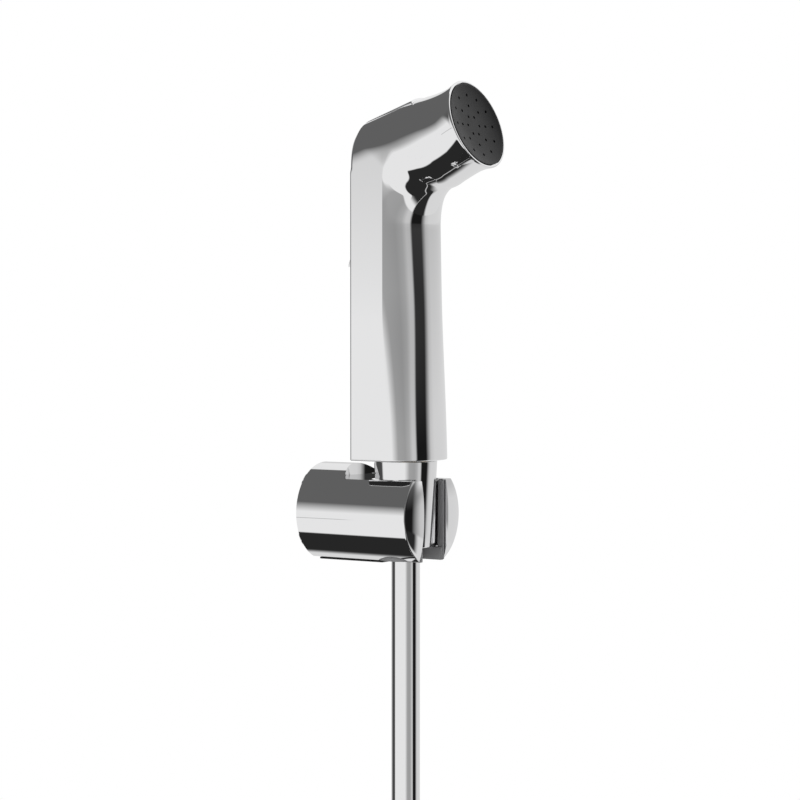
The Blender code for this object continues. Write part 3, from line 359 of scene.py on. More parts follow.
def loft(name, sections, material=None):
    """A closed skin over sections that have the same number of points, capped at both ends."""

    def build(work):
        rings = [[work.verts.new(point) for point in section] for section in sections]
        for near, far in zip(rings, rings[1:]):
            for i in range(len(near)):
                j = (i + 1) % len(near)
                work.faces.new((near[i], near[j], far[j], far[i]))
        work.faces.new(rings[0])
        work.faces.new(rings[-1])

    return place(name, build, material)


def combine(obj, cutters, operation="DIFFERENCE"):
    """Takes other objects out of one, or joins them on, and removes them."""
    for cutter in cutters:
        boolean = obj.modifiers.new(cutter.name, "BOOLEAN")
        boolean.operation = operation
        boolean.solver = "EXACT"
        boolean.object = cutter
    bake(obj)
    for cutter in cutters:
        bpy.data.objects.remove(cutter, do_unlink=True)


def bake(obj):
    """Replaces an object's mesh by what its modifiers make of it."""
    graph = bpy.context.evaluated_depsgraph_get()
    mesh = bpy.data.meshes.new_from_object(obj.evaluated_get(graph))
    obj.modifiers.clear()
    old = obj.data
    obj.data = mesh
    bpy.data.meshes.remove(old)
    mesh.name = obj.name


def soften(obj, width, angle=EDGE_ANGLE):
    """Rounds the edges of an object that turn by more than angle."""
    bevel = obj.modifiers.new("edges", "BEVEL")
    bevel.width = width
    bevel.segments = 2
    bevel.limit_method = "ANGLE"
    bevel.angle_limit = angle
    bake(obj)
    resharpen(obj)


def between(start, end, steps):
    """Evenly spaced values from start to end, both included."""
    return [start + (end - start) * i / steps for i in range(steps + 1)]


def round_corner(start, corner, end, steps):
    """Points of a small rounded corner, from start to end by way of corner."""
    points = []
    for t in between(0.0, 1.0, steps):
        near, middle, far = (1 - t) ** 2, 2 * t * (1 - t), t * t
        points.append(tuple(near * a + middle * k + far * b for a, k, b in zip(start, corner, end)))
    return points


def smooth(value):
    """0 below 0, 1 above 1, and an S between them."""
    value = min(1.0, max(0.0, value))
    return value * value * (3 - 2 * value)


def taper(back, full_back):
    """How far the head has grown from its neck to its full section, which it has at full_back."""
    return smooth((back - NECK_BACK) / (full_back - NECK_BACK))


def head_width(back):
    """The head's half width, this far behind the face plane."""
    if back < NECK_BACK:
        flare = (RIM_RADIUS - NECK_RADIUS) * (1 - back / NECK_BACK) ** FLARE_POWER
        edge = max(0.0, 1 - back / RIM_ROUND)
        return NECK_RADIUS + flare - RIM_ROUND * (1 - math.sqrt(1 - edge**2))
    return NECK_RADIUS + (HALF_WIDTH - NECK_RADIUS) * taper(back, WIDTH_TAPER_BACK)


def head_height(back):
    """The head's half height: as its half width at the neck, and the crown's height at the back."""
    if back < NECK_BACK:
        return head_width(back)
    return NECK_RADIUS + (CROWN_HEIGHT - NECK_RADIUS) * taper(back, HEIGHT_TAPER_BACK)


def head_power(back):
    """How square the head's section is: 2 is an ellipse."""
    return 2 + (CROWN_POWER - 2) * taper(back, HEIGHT_TAPER_BACK)


def softer_min(first, second, blend):
    """The smaller of two values, rounded where they cross."""
    near = max(0.0, 1 - abs(first - second) / max(blend, TINY))
    return min(first, second) - near**2 * blend / 4


def arch(height, width, power, y):
    """Height of an arch this far from its middle."""
    return height * max(0.0, 1 - (abs(y) / width) ** power) ** (1 / power)


def ray_at(angle):
    """The direction to the back, in the middle plane, raised by angle from level."""
    return Vector((-math.cos(angle), 0, math.sin(angle)))


def crown_centre(y):
    """Centre of the arc that joins the flat back to the top of the head, this far from the middle."""
    rise = AXIS_HEIGHT + arch(CROWN_HEIGHT, HALF_WIDTH, CROWN_POWER, y) - CROWN_FILLET
    x = BACK_X + CROWN_FILLET
    z = BEND_Z + (rise - (x - BEND_X) * ABOVE_THE_HEAD.x) / ABOVE_THE_HEAD.z
    return Vector((x, 0, z))


def back_distance(angle, back, y):
    """Distance from the bend's centre to the back or top surface, along a ray raised by angle."""
    off = BEND_ANGLE - angle
    flat = (BEND_X - BACK_X) / math.cos(angle)
    top = (AXIS_HEIGHT + arch(head_height(back), head_width(back), head_power(back), y)) / math.cos(off)
    centre = crown_centre(y) - BEND
    ray = ray_at(angle)
    along = centre.dot(ray)
    reach = CROWN_FILLET**2 - centre.dot(centre) + along**2
    if reach > 0:
        hit = ray * (along + math.sqrt(reach)) - centre
        if hit.z > 0 and hit.x < 0 and hit.dot(UP_THE_HEAD) < 0:
            return along + math.sqrt(reach)
    return min(flat, top)


class Section:
    """One section of the hand spray, in the plane of the Y axis and a ray.

    width is the half width. Distances are along the ray from origin: axis_at to the middle of the
    head's tube, crease to where the nose starts, tip to the handle's nose, tube_tip to the tube's
    underside, and back, a function of y, to the back.
    """

    def __init__(
        self, origin, ray, width, axis_at, lean, arch_power, crease, tip, tube_tip, roundness, blend, back
    ):
        self.origin = Vector(origin)
        self.ray = Vector(ray)
        self.width = width
        self.axis_at = axis_at
        self.lean = lean
        self.arch_power = arch_power
        self.crease = crease
        self.shoulder = min(crease, axis_at)
        self.tip = tip
        self.tube_tip = tube_tip
        self.roundness = roundness
        self.blend = blend
        self.back = back

    def side(self, t):
        """Half width at distance t along the ray, behind the shoulder."""
        over = max(0.0, t - self.axis_at) * self.lean
        return self.width * max(0.0, 1 - over**self.arch_power) ** (1 / self.arch_power)

    def half_outline(self):
        """(distance, half width) pairs from the middle of the back round to the nose."""
        corner = min(self.width, self.side(self.back(0.0)))
        corner = max(corner, LEAST_CORNER * self.width)
        inner = corner - EDGE_RADIUS
        points = []
        for y in between(0.0, inner, BACK_POINTS)[:-1]:
            points.append((self.back(y), y))
        knee = (self.back(corner), corner)
        side_start = knee[0] - EDGE_RADIUS
        before = (self.back(inner), inner)
        after = (side_start, self.side(side_start))
        points += round_corner(before, knee, after, CORNER_POINTS)[:-1]
        for share in between(0.0, 1.0, SIDE_POINTS):
            t = self.shoulder + (side_start - self.shoulder) * math.cos(share * math.pi / 2)
            points.append((t, self.side(t)))
        for share in between(0.0, 1.0, NOSE_POINTS)[1:-1]:
            across = math.cos(share * math.pi / 2)
            points.append((self.nose(across), self.width * across))
        points.append((self.nose(0.0), 0.0))
        return points

    def nose(self, across):
        """Distance to the nose at a share of the half width: the handle's nose or the head's underside."""
        deep = (1 - across**NOSE_POWER) ** (1 / self.roundness)
        handle = self.crease - (self.crease - self.tip) * deep
        head = self.axis_at - (self.axis_at - self.tube_tip) * math.sqrt(1 - across**2)
        blend = self.blend * across**BLEND_POWER
        return min(self.shoulder, softer_min(handle, head, blend))

    def outline(self):
        """The closed outline as points of the frame."""
        half = self.half_outline()
        loop = [(t, -y) for t, y in half] + [(t, y) for t, y in reversed(half[1:-1])]
        return [self.origin + self.ray * t + Vector((0, y, 0)) for t, y in loop]


def handle_section(z):
    """A level section of the handle."""
    nose = NOSE_X_TOP + (NOSE_SLOPE * (BEND_Z - z) if z < BEND_Z else 0.0)
    fade = smooth((CREASE_FADE_Z - z) / (CREASE_FADE_Z - BODY_BOTTOM_Z))
    return Section(
        origin=(BEND_X, 0, z),
        ray=(-1, 0, 0),
        width=HALF_WIDTH,
        axis_at=FAR_OFF,
        lean=1.0,
        arch_power=2.0,
        crease=BEND_X - CREASE_X,
        tip=BEND_X - nose,
        tube_tip=FAR_OFF,
        roundness=1 + (FOOT_ROUNDNESS - 1) * fade,
        blend=0.0,
        back=lambda y: BEND_X - BACK_X,
    )


def bend_section(angle):
    """A section of the bend, along a ray raised by angle from level."""
    off = BEND_ANGLE - angle
    back = HEAD_RUN + AXIS_HEIGHT * math.tan(off)
    turn = angle / BEND_ANGLE
    throat_end = AXIS_HEIGHT - head_height(HEAD_RUN)
    belly = THROAT_BELLY * smooth((turn - BELLY_START) / (1 - BELLY_START))
    height = head_height(back)
    return Section(
        origin=BEND,
        ray=ray_at(angle),
        width=head_width(back),
        axis_at=AXIS_HEIGHT / math.cos(off),
        lean=math.cos(off) / height,
        arch_power=head_power(back),
        crease=(BEND_X - CREASE_X) / math.cos(angle),
        tip=(BEND_X - NOSE_X_TOP) * (1 - smooth(turn)) + throat_end * smooth(turn) - belly,
        tube_tip=(AXIS_HEIGHT - height) / math.cos(off) - belly,
        roundness=1.0,
        blend=NOSE_BLEND * (1 - smooth((turn - BLEND_FADE) / (1 - BLEND_FADE))),
        back=lambda y: back_distance(angle, back, y),
    )


def head_section(run):
    """A square-on section of the head, this far past the bend."""
    back = HEAD_RUN - run
    width, height, arch_power = head_width(back), head_height(back), head_power(back)
    belly = THROAT_BELLY * (1 - smooth(run / (HEAD_RUN - RIM_ROUND)))
    return Section(
        origin=BEND + UP_THE_HEAD * run,
        ray=ABOVE_THE_HEAD,
        width=width,
        axis_at=AXIS_HEIGHT,
        lean=1 / height,
        arch_power=arch_power,
        crease=(BEND_X - CREASE_X) / math.cos(BEND_ANGLE),
        tip=AXIS_HEIGHT - height - belly,
        tube_tip=AXIS_HEIGHT - height - belly,
        roundness=1.0,
        blend=0.0,
        back=lambda y: AXIS_HEIGHT + arch(height, width, arch_power, y),
    )


def drawn_in(outline, inset):
    """A level outline moved in by inset, square to itself."""
    moved = []
    count = len(outline)
    for i, point in enumerate(outline):
        along = outline[(i + 1) % count] - outline[i - 1]
        out = along.cross(UP).normalized()
        moved.append(point - out * inset)
    return moved


def body_sections():
    """The sections of the hand spray's shell, from the foot's rounded edge to the flared rim."""
    foot = handle_section(BODY_BOTTOM_Z).outline()
    middle = sum(foot, Vector()) / len(foot)
    inward = 1.0 if (foot[0] - middle).dot(foot[0] - drawn_in(foot, FOOT_EDGE)[0]) > 0 else -1.0
    sections = []
    for turn in between(0.0, 0.5 * math.pi, FOOT_LEVELS)[:-1]:
        ring = drawn_in(foot, inward * FOOT_EDGE * (1 - math.sin(turn)))
        sections.append([p + UP * FOOT_EDGE * (1 - math.cos(turn)) for p in ring])
    low = BODY_BOTTOM_Z + FOOT_EDGE
    for z in between(low, BEND_Z, HANDLE_LEVELS)[:-1]:
        sections.append(handle_section(z).outline())
    for angle in between(0.0, BEND_ANGLE, BEND_LEVELS)[:-1]:
        sections.append(bend_section(angle).outline())
    backs = between(HEAD_RUN, NECK_BACK, HEAD_LEVELS)[:-1] + between(NECK_BACK, RIM_ROUND, FLARE_LEVELS)[:-1]
    backs += [RIM_ROUND * (1 - math.sin(turn)) for turn in between(0.0, 0.5 * math.pi, RIM_LEVELS)]
    for back in backs:
        sections.append(head_section(HEAD_RUN - max(0.0, back)).outline())
    return sections


def lever_path(kick_steps=24, crown_steps=20, head_steps=8):
    """Stations of the thumb lever from its thumb end to its head end, as (kind, value)."""
    top_z = crown_centre(0.0).z
    stations = [("back", z) for z in between(LEVER_END_Z, LEVER_KICK_TOP_Z, kick_steps)]
    stations += [("back", z) for z in between(LEVER_KICK_TOP_Z, top_z, kick_steps)[1:-1]]
    stations += [("crown", angle) for angle in between(0.0, BEND_ANGLE, crown_steps)]
    stations += [("head", run) for run in between(0.0, LEVER_HEAD_RUN, head_steps)[1:]]
    return stations


def shell_point(station, y, offset):
    """A point this far outside the shell's back or top, at a station and this far from the middle."""
    kind, value = station
    centre = crown_centre(y)
    if kind == "back":
        drop = crown_centre(0.0).z - centre.z
        reach = smooth((value - BEND_Z) / (crown_centre(0.0).z - BEND_Z))
        return Vector((BACK_X - offset, y, value - drop * reach))
    turn = BEND_ANGLE if kind == "head" else value
    point = centre + ray_at(turn) * (CROWN_FILLET + offset)
    if kind == "head":
        point += UP_THE_HEAD * value
    return point + Vector((0, y, 0))


def kick(station):
    """How far the thumb end bends away from the handle at a station."""
    kind, value = station
    if kind != "back":
        return 0.0
    return LEVER_KICK * smooth((LEVER_KICK_TOP_Z - value) / (LEVER_KICK_TOP_Z - LEVER_END_Z))


def plate_section(station, half_width, inside, outside, across=24):
    """A strip's closed section between two offsets from the shell."""
    ys = [half_width * (2 * share - 1) for share in between(0.0, 1.0, across)]
    near = [shell_point(station, y, inside) for y in ys]
    far = [shell_point(station, y, outside) for y in reversed(ys)]
    return near + far


def pin_centre():
    """Where the lever's pin crosses the middle plane."""
    return crown_centre(0.0) + ray_at(0.5 * BEND_ANGLE) * (CROWN_FILLET - PIN_DEPTH)


def pin_bar(name, radius, half_length, steps=PIN_ROUND):
    """A round bar along the line of the lever's pin."""
    pin, side = pin_centre(), Y_AXIS * half_length
    return cylinder(name, radius, pin - side, pin + side, steps=steps)


def recess_depth(station):
    """Depth of the lever's recess, with room for the plate to swing in."""
    kind, value = station
    drop = pin_centre().z - value if kind == "back" else 0.0
    return LEVER_THICKNESS - LEVER_PROUD + LOOSE + max(0.0, drop) * math.tan(LEVER_SWING)


def body_cutters():
    """What is taken out of the hand spray's shell: its bores and the lever's recess."""
    back_in = FACE - UP_THE_HEAD * CHAMBER_DEPTH
    beyond = FACE + UP_THE_HEAD * CUT_PAST
    seat_in = FACE - UP_THE_HEAD * (FACE_THICKNESS - FACE_PROUD + GAP)
    cutters = [
        cylinder("chamber_cut", CHAMBER_RADIUS, back_in, beyond),
        cylinder("face_seat_cut", FACE_RADIUS + GAP, seat_in, beyond),
    ]
    inlet = solid_profile(
        (NIPPLE_SPIGOT_RADIUS + GAP, BODY_BOTTOM_Z - BORE_PAST),
        (NIPPLE_SPIGOT_RADIUS + GAP, NIPPLE_TOP_Z + GAP),
        (WATERWAY_RADIUS, NIPPLE_TOP_Z + GAP),
        (WATERWAY_RADIUS, VALVE_Z),
    )
    cutters.append(turned("inlet_cut", inlet, (SEAT_X, 0, 0), UP, steps=SMALL_ROUND))
    valve = solid_profile(
        (HOUSING_RADIUS + GAP, BACK_X - BORE_PAST),
        (HOUSING_RADIUS + GAP, HOUSING_END + GAP),
        (VALVE_CHAMBER_RADIUS, HOUSING_END + GAP),
        (VALVE_CHAMBER_RADIUS, VALVE_CHAMBER_END),
    )
    cutters.append(turned("valve_cut", valve, (0, 0, VALVE_Z), X_AXIS, steps=SMALL_ROUND))
    riser_x = 0.5 * (HOUSING_END + VALVE_CHAMBER_END)
    low, high = (riser_x, 0, VALVE_Z), (riser_x, 0, back_in.z)
    cutters.append(cylinder("riser_cut", 0.5 * WATERWAY_RADIUS, low, high, steps=PIN_ROUND))
    stations = [("back", RECESS_END_Z)]
    for kind, value in lever_path():
        if kind != "back" or value >= LEVER_KICK_TOP_Z:
            stations.append((kind, value))
    stations[-1] = ("head", LEVER_HEAD_RUN + LEVER_SEAM)
    half_width = LEVER_HALF_WIDTH + LEVER_SEAM
    sections = [plate_section(s, half_width, -recess_depth(s), RECESS_PAST) for s in stations]
    cutters.append(loft("recess_cut", sections))
    cutters.append(pin_bar("lug_cut", LUG_RADIUS + LOOSE, 0.5 * LUG_WIDTH + GAP, SMALL_ROUND))
    cutters.append(pin_bar("pin_cut", PIN_RADIUS + GAP, 0.5 * PIN_LENGTH + GAP))
    return cutters


def make_shell(chrome):
    """The hand spray's plated shell."""
    shell = loft("spray_shell", body_sections(), chrome)
    combine(shell, body_cutters())
    resharpen(shell)
    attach(shell, "spray_set")
    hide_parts("handset_body")


def make_lever(chrome):
    """The thumb lever with its lug."""
    pin = pin_centre()
    sections = []
    for station in lever_path():
        lift = kick(station)
        inside = LEVER_PROUD - LEVER_THICKNESS + lift
        sections.append(plate_section(station, LEVER_HALF_WIDTH, inside, LEVER_PROUD + lift))
    lever = loft("lever_plate", sections, chrome)
    soften(lever, LEVER_EDGE, LEVER_EDGE_ANGLE)
    lug = pin_bar("lug", LUG_RADIUS, 0.5 * LUG_WIDTH, SMALL_ROUND)
    web_end = pin + ray_at(0.5 * BEND_ANGLE) * (PIN_DEPTH - 0.5 * LEVER_THICKNESS)
    combine(lug, [cylinder("lug_web", WEB_RADIUS, pin, web_end, steps=PIN_ROUND)], "UNION")
    combine(lever, [lug], "UNION")
    combine(lever, [pin_bar("lug_hole", PIN_RADIUS + GAP, LUG_WIDTH)])
    resharpen(lever)
    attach(lever, "lever")
    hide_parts("thumb_lever")


def make_face(black):
    """The dished and perforated spray face."""
    back = -FACE_THICKNESS + FACE_PROUD
    lip = FACE_RADIUS - FACE_EDGE
    dish = []
    for share in between(0.0, 1.0, DISH_POINTS):
        dish.append((lip * share, FACE_PROUD - DISH_DEPTH * (1 - share**DISH_POWER)))
    edge_end = (FACE_RADIUS, FACE_PROUD - FACE_EDGE)
    edge = round_corner((lip, FACE_PROUD), (FACE_RADIUS, FACE_PROUD), edge_end, 4)
    profile = [
        *dish,
        *edge[1:],
        (FACE_RADIUS, back),
        (SPIGOT_RADIUS, back),
        (SPIGOT_RADIUS, back - SPIGOT_LENGTH),
        (SPIGOT_RADIUS - FACE_WALL, back - SPIGOT_LENGTH),
        (SPIGOT_RADIUS - FACE_WALL, back),
        (0.0, back),
    ]
    face = turned("spray_disc", profile, FACE, UP_THE_HEAD, black)

    def build(work):
        turn = UP.rotation_difference(UP_THE_HEAD).to_matrix().to_4x4()
        size = {"radius1": NOZZLE_RADIUS, "radius2": NOZZLE_RADIUS, "depth": 4 * FACE_THICKNESS}
        for radius, count in NOZZLE_RINGS:
            for i in range(count):
                angle = 2 * math.pi * i / count
                spot = Vector((0, math.cos(angle) * radius, 0))
                spot += ABOVE_THE_HEAD * math.sin(angle) * radius + FACE
                matrix = Matrix.Translation(spot) @ turn
                bmesh.ops.create_cone(work, cap_ends=True, segments=NOZZLE_ROUND, matrix=matrix, **size)

    combine(face, [place("nozzle_cuts", build)])
    resharpen(face)
    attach(face, "spray_set")
    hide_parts("spray_face")


def nut_radius(z):
    """The hose nut's outside radius at a height."""
    share = (z - NUT_BOTTOM_Z) / (NUT_TOP_Z - NUT_BOTTOM_Z)
    return NUT_BOTTOM_RADIUS + (NUT_TOP_RADIUS - NUT_BOTTOM_RADIUS) * share


def make_hose_nut(chrome):
    """The conical hose nut, with rounded edges."""
    low_edge = round_corner(
        (NUT_BOTTOM_RADIUS - NUT_EDGE, NUT_BOTTOM_Z),
        (NUT_BOTTOM_RADIUS, NUT_BOTTOM_Z),
        (nut_radius(NUT_BOTTOM_Z + NUT_EDGE), NUT_BOTTOM_Z + NUT_EDGE),
        CORNER_POINTS,
    )
    high_edge = round_corner(
        (nut_radius(NUT_TOP_Z - NUT_EDGE), NUT_TOP_Z - NUT_EDGE),
        (NUT_TOP_RADIUS, NUT_TOP_Z),
        (NUT_TOP_RADIUS - NUT_EDGE, NUT_TOP_Z),
        CORNER_POINTS,
    )
    profile = [
        (HOSE_RADIUS + LOOSE, NUT_BOTTOM_Z),
        *low_edge,
        *high_edge,
        (NUT_THREAD_RADIUS, NUT_TOP_Z),
        (NUT_THREAD_RADIUS, NUT_SHOULDER_Z),
        (HOSE_RADIUS + LOOSE, NUT_SHOULDER_Z),
    ]
    nut = turned("cone_nut", profile, (SEAT_X, 0, 0), UP, chrome)
    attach(nut, "spray_set")
    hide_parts("hose_nut")


def make_holder(chrome):
    """The holder's one-piece body: domed cylinder, notched top, flat foot, conical seat and slot."""
    profile = [(0.0, 0.0), (HOLDER_RADIUS, 0.0)]
    dome_radius = HOLDER_RADIUS - RIM_BEVEL
    rim_start = (HOLDER_RADIUS, HOLDER_LENGTH - RIM_BEVEL)
    profile += round_corner(rim_start, (HOLDER_RADIUS, HOLDER_LENGTH), (dome_radius, HOLDER_LENGTH), 6)[:-1]
    for share in between(1.0, 0.0, DOME_POINTS):
        profile.append((dome_radius * share, HOLDER_LENGTH + DOME_HEIGHT * (1 - share**DOME_POWER)))
    body = turned("holder_shell", profile, (0, 0, 0), X_AXIS, chrome, steps=HOLDER_ROUND)
    far = HOLDER_LENGTH + DOME_HEIGHT + CUT_PAST
    wide = HOLDER_RADIUS + CUT_PAST
    low = NUT_BOTTOM_Z - GAP
    mouth_z = TOP_FLAT_Z - MOUTH_BEVEL
    seat = solid_profile(
        (nut_radius(low) + GAP, -wide),
        (nut_radius(low) + GAP, low),
        (nut_radius(mouth_z) + GAP, mouth_z),
        (nut_radius(TOP_FLAT_Z) + GAP + MOUTH_BEVEL, TOP_FLAT_Z),
        (nut_radius(TOP_FLAT_Z) + GAP + MOUTH_BEVEL, wide),
    )
    hub_depth = PLATE_THICKNESS + HUB_LENGTH + GAP
    cavity = solid_profile(
        (CAVITY_RADIUS, -CUT_PAST),
        (CAVITY_RADIUS, CAVITY_DEPTH),
        (HUB_RADIUS + GAP, CAVITY_DEPTH),
        (HUB_RADIUS + GAP, hub_depth),
    )
    half_slot = 0.5 * SLOT_WIDTH
    grub_low, grub_high = (GRUB_X, 0, -wide), (GRUB_X, 0, -0.5 * HUB_RADIUS)
    cutters = [
        cylinder("top_notch_cut", TOP_NOTCH_RADIUS, (SEAT_X, 0, TOP_FLAT_Z), (SEAT_X, 0, wide)),
        box("under_flat_cut", (-CUT_PAST, -wide, -wide), (far, wide, UNDER_FLAT_Z)),
        turned("seat_cut", seat, (SEAT_X, 0, 0), UP),
        box("slot_cut", (SEAT_X, -half_slot, -wide), (far, half_slot, wide)),
        turned("cavity_cut", cavity, (0, 0, 0), X_AXIS, steps=SMALL_ROUND),
        cylinder("grub_cut", GRUB_RADIUS + GAP, grub_low, grub_high, steps=PIN_ROUND),
    ]
    combine(body, cutters)
    soften(body, HOLDER_EDGE, HOLDER_EDGE_ANGLE)
    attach(body, "spray_set")
    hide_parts("holder_body")


def make_seat_collar(grey):
    """The horseshoe under the cone, with arms in the foot of the slot, and a dark grey lining up the slot's
    sides that is painted shade and painted reflection in the slot's mouth.
    """
    top = NUT_BOTTOM_Z - GAP
    front = SEAT_X + COLLAR_ARM_LENGTH
    arm = 0.5 * SLOT_WIDTH - GAP
    outer = nut_radius(top)
    reach = math.asin(arm / outer)
    outline = []
    for angle in between(reach, 2 * math.pi - reach, 64):
        outline.append((SEAT_X + outer * math.cos(angle), outer * math.sin(angle)))
    outline += [(front, -arm), (front, -COLLAR_HOLE_RADIUS)]
    for angle in between(1.5 * math.pi, 0.5 * math.pi, 48):
        outline.append((SEAT_X + COLLAR_HOLE_RADIUS * math.cos(angle), COLLAR_HOLE_RADIUS * math.sin(angle)))
    outline += [(front, COLLAR_HOLE_RADIUS), (front, arm)]
    sections = [[Vector((x, y, z)) for x, y in outline] for z in (UNDER_FLAT_Z, top)]
    collar = loft("seat_shoe", sections, grey)
    # Dark grey strips on the slot's walls: painted shade and painted reflection for the dark band at the
    # slot's edges
    for side in (-1, 1):
        right, left = sorted((side * (arm - SHADE_LINING_THICKNESS), side * arm))
        low = (front - SHADE_LINING_LENGTH, right, UNDER_FLAT_Z + GAP)
        high = (front + SHADE_LINING_PAST, left, TOP_FLAT_Z - GAP)
        combine(collar, [box("slot_shade_lining", low, high)], "UNION")
    soften(collar, COLLAR_EDGE)
    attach(collar, "spray_set")
    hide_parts("seat_collar")


def hose_path():
    """The hose's centreline: down, sideways to the coil, two turns of it, and down to the outlet."""
    points = [Vector((SEAT_X, 0, z)) for z in between(NUT_SHOULDER_Z, SWEEP_START_Z, 12)[:-1]]
    for share in between(0.0, 1.0, 60):
        z = SWEEP_START_Z + (SWEEP_END_Z - SWEEP_START_Z) * share
        y = -COIL_RADIUS * (share**3 * (10 - 15 * share + 6 * share * share))
        points.append(Vector((SEAT_X, y, z)))
    for turns in between(0.0, COIL_TURNS, COIL_TURNS * 96):
        angle = 2 * math.pi * turns
        y = -COIL_RADIUS * math.cos(angle)
        z = COIL_CENTRE_Z - COIL_RADIUS * math.sin(angle)
        points.append(Vector((SEAT_X - COIL_LANE * turns, y, z)))
    tail_x = points[-1].x
    points += [Vector((tail_x, -COIL_RADIUS, z)) for z in between(COIL_CENTRE_Z, TAIL_END_Z, 8)[1:]]
    return points


def make_hose(metal):
    """The hose as one length, down to its outlet end."""
    curve = bpy.data.curves.new("silvered_hose", "CURVE")
    curve.dimensions = "3D"
    curve.bevel_depth = HOSE_RADIUS
    curve.bevel_resolution = HOSE_ROUND
    curve.use_fill_caps = True
    points = hose_path()
    spline = curve.splines.new("POLY")
    spline.points.add(len(points) - 1)
    for point, spot in zip(spline.points, points):
        point.co = (*spot, 1.0)
    spline.use_smooth = True
    curve.materials.append(metal)
    hose = bpy.data.objects.new("silvered_hose", curve)
    bpy.context.scene.collection.objects.link(hose)
    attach(hose, "spray_set")
    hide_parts("hose", "hose_coil", "hose_tail")
    return hose


def make_tie(black):
    """The strap that holds the coil's turns together at the top, with a rounded section."""
    top_z = COIL_CENTRE_Z + COIL_RADIUS
    first_x = SEAT_X - TOP_OF_TURN * COIL_LANE
    last_x = SEAT_X - (COIL_TURNS - 1 + TOP_OF_TURN) * COIL_LANE
    reach = HOSE_RADIUS + GAP
    half_width = 0.5 * TIE_WIDTH
    lip = 0.25 * TIE_THICKNESS
    rails = []
    for centre_x, start in ((first_x, 0.0), (last_x, math.pi)):
        rails += [(centre_x, start + turn) for turn in between(0.5 * math.pi, -0.5 * math.pi, 24)]
    edge = ((0.0, -half_width), (TIE_THICKNESS - lip, -half_width), (TIE_THICKNESS, lip - half_width))
    strip = edge + tuple((t, -y) for t, y in reversed(edge))

    def build(work):
        rings = []
        for centre_x, angle in rails:
            out = Vector((math.cos(angle), 0, math.sin(angle)))
            middle = Vector((centre_x, 0, top_z))
            rings.append([work.verts.new(middle + out * (reach + t) + Vector((0, y, 0))) for t, y in strip])
        for i, ring in enumerate(rings):
            following = rings[(i + 1) % len(rings)]
            for j in range(len(strip)):
                k = (j + 1) % len(strip)
                work.faces.new((ring[j], ring[k], following[k], following[j]))

    tie = place("coil_strap", build, black)
    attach(tie, "spray_set")
    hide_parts("hose_tie")
    return tie


def make_outlet_nut(chrome):
    """The hexagon nut on the hose's far end, with chamfered corners."""
    x = SEAT_X - COIL_TURNS * COIL_LANE
    flange_z = TAIL_END_Z - GAP
    top = flange_z + GAP + FAR_NUT_LIP
    low = top - FAR_NUT_LENGTH
    nut = cylinder("hex_nut", FAR_NUT_RADIUS, (x, -COIL_RADIUS, low), (x, -COIL_RADIUS, top), chrome, steps=6)
    flat = FAR_NUT_RADIUS * math.cos(math.pi / 6)
    shape = solid_profile(
        (flat, low - CHAMFER_PAST),
        (FAR_NUT_RADIUS + 2 * CHAMFER_PAST, low + FAR_NUT_CHAMFER),
        (FAR_NUT_RADIUS + 2 * CHAMFER_PAST, top - FAR_NUT_CHAMFER),
        (flat, top + CHAMFER_PAST),
    )
    foot = (x, -COIL_RADIUS, 0)
    combine(nut, [turned("nut_chamfer", shape, foot, UP, steps=FAR_NUT_ROUND)], "INTERSECT")
    bore = solid_profile(
        (FAR_THREAD_RADIUS, low - BORE_PAST),
        (FAR_THREAD_RADIUS, flange_z + GAP),
        (HOSE_RADIUS + LOOSE, flange_z + GAP),
        (HOSE_RADIUS + LOOSE, top + BORE_PAST),
    )
    combine(nut, [turned("nut_bore", bore, foot, UP, steps=SMALL_ROUND)])
    soften(nut, FAR_NUT_EDGE)
    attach(nut, "far_nut")
    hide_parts("outlet_nut")
    return nut


# How fine the grain is, per metre, and the share of it for the broader noise
METAL_SCALE = 900.0
RUBBER_SCALE = 1800.0
PLASTIC_SCALE = 2600.0
COARSE_SHARE = 0.08


class Nodes:
    """Adds nodes to a node tree and links them as they are made."""

    def __init__(self, tree):
        self.tree = tree
        tree.nodes.clear()

    def add(self, kind, settings=None, **inputs):
        """A node, with its settings and its inputs: a value, or another node's output."""
        node = self.tree.nodes.new(kind)
        for name, value in (settings or {}).items():
            setattr(node, name, value)
        for name, value in inputs.items():
            key = int(name[1:]) if name[0] == "i" and name[1:].isdigit() else name.replace("_", " ")
            self.feed(node.inputs[key], value)
        return node

    def feed(self, socket, value):
        """Gives an input a value, or links an output to it."""
        if isinstance(value, bpy.types.NodeSocket):
            self.tree.links.new(value, socket)
        else:
            socket.default_value = value

    def math(self, operation, *values):
        """The output of a Math node over one, two or three values."""
        node = self.add("ShaderNodeMath", {"operation": operation})
        for socket, value in zip(node.inputs, values):
            self.feed(socket, value)
        return node.outputs[0]

    def ramp(self, value, stops):
        """A grey ramp over stops of (place, brightness)."""
        node = self.add("ShaderNodeValToRGB", Fac=value)
        elements = node.color_ramp.elements
        for place_at, level in stops[1:-1]:
            elements.new(place_at).color = grey(level)
        for element, (place_at, level) in ((elements[0], stops[0]), (elements[-1], stops[-1])):
            element.position = place_at
            element.color = grey(level)
        return node.outputs["Color"]

    def mix(self, share, first, second):
        """A blend of two greys or colours."""
        node = self.add("ShaderNodeMix", {"data_type": "RGBA"}, i0=share)
        self.feed(node.inputs[6], first)
        self.feed(node.inputs[7], second)
        return node.outputs[2]


def grey(level):
    """A colour with no hue."""
    return (level, level, level, 1.0)


def new_material(name):
    """A material with no nodes yet, and what adds them."""
    made = bpy.data.materials.new(name)
    made.use_nodes = True
    return made, Nodes(made.node_tree)


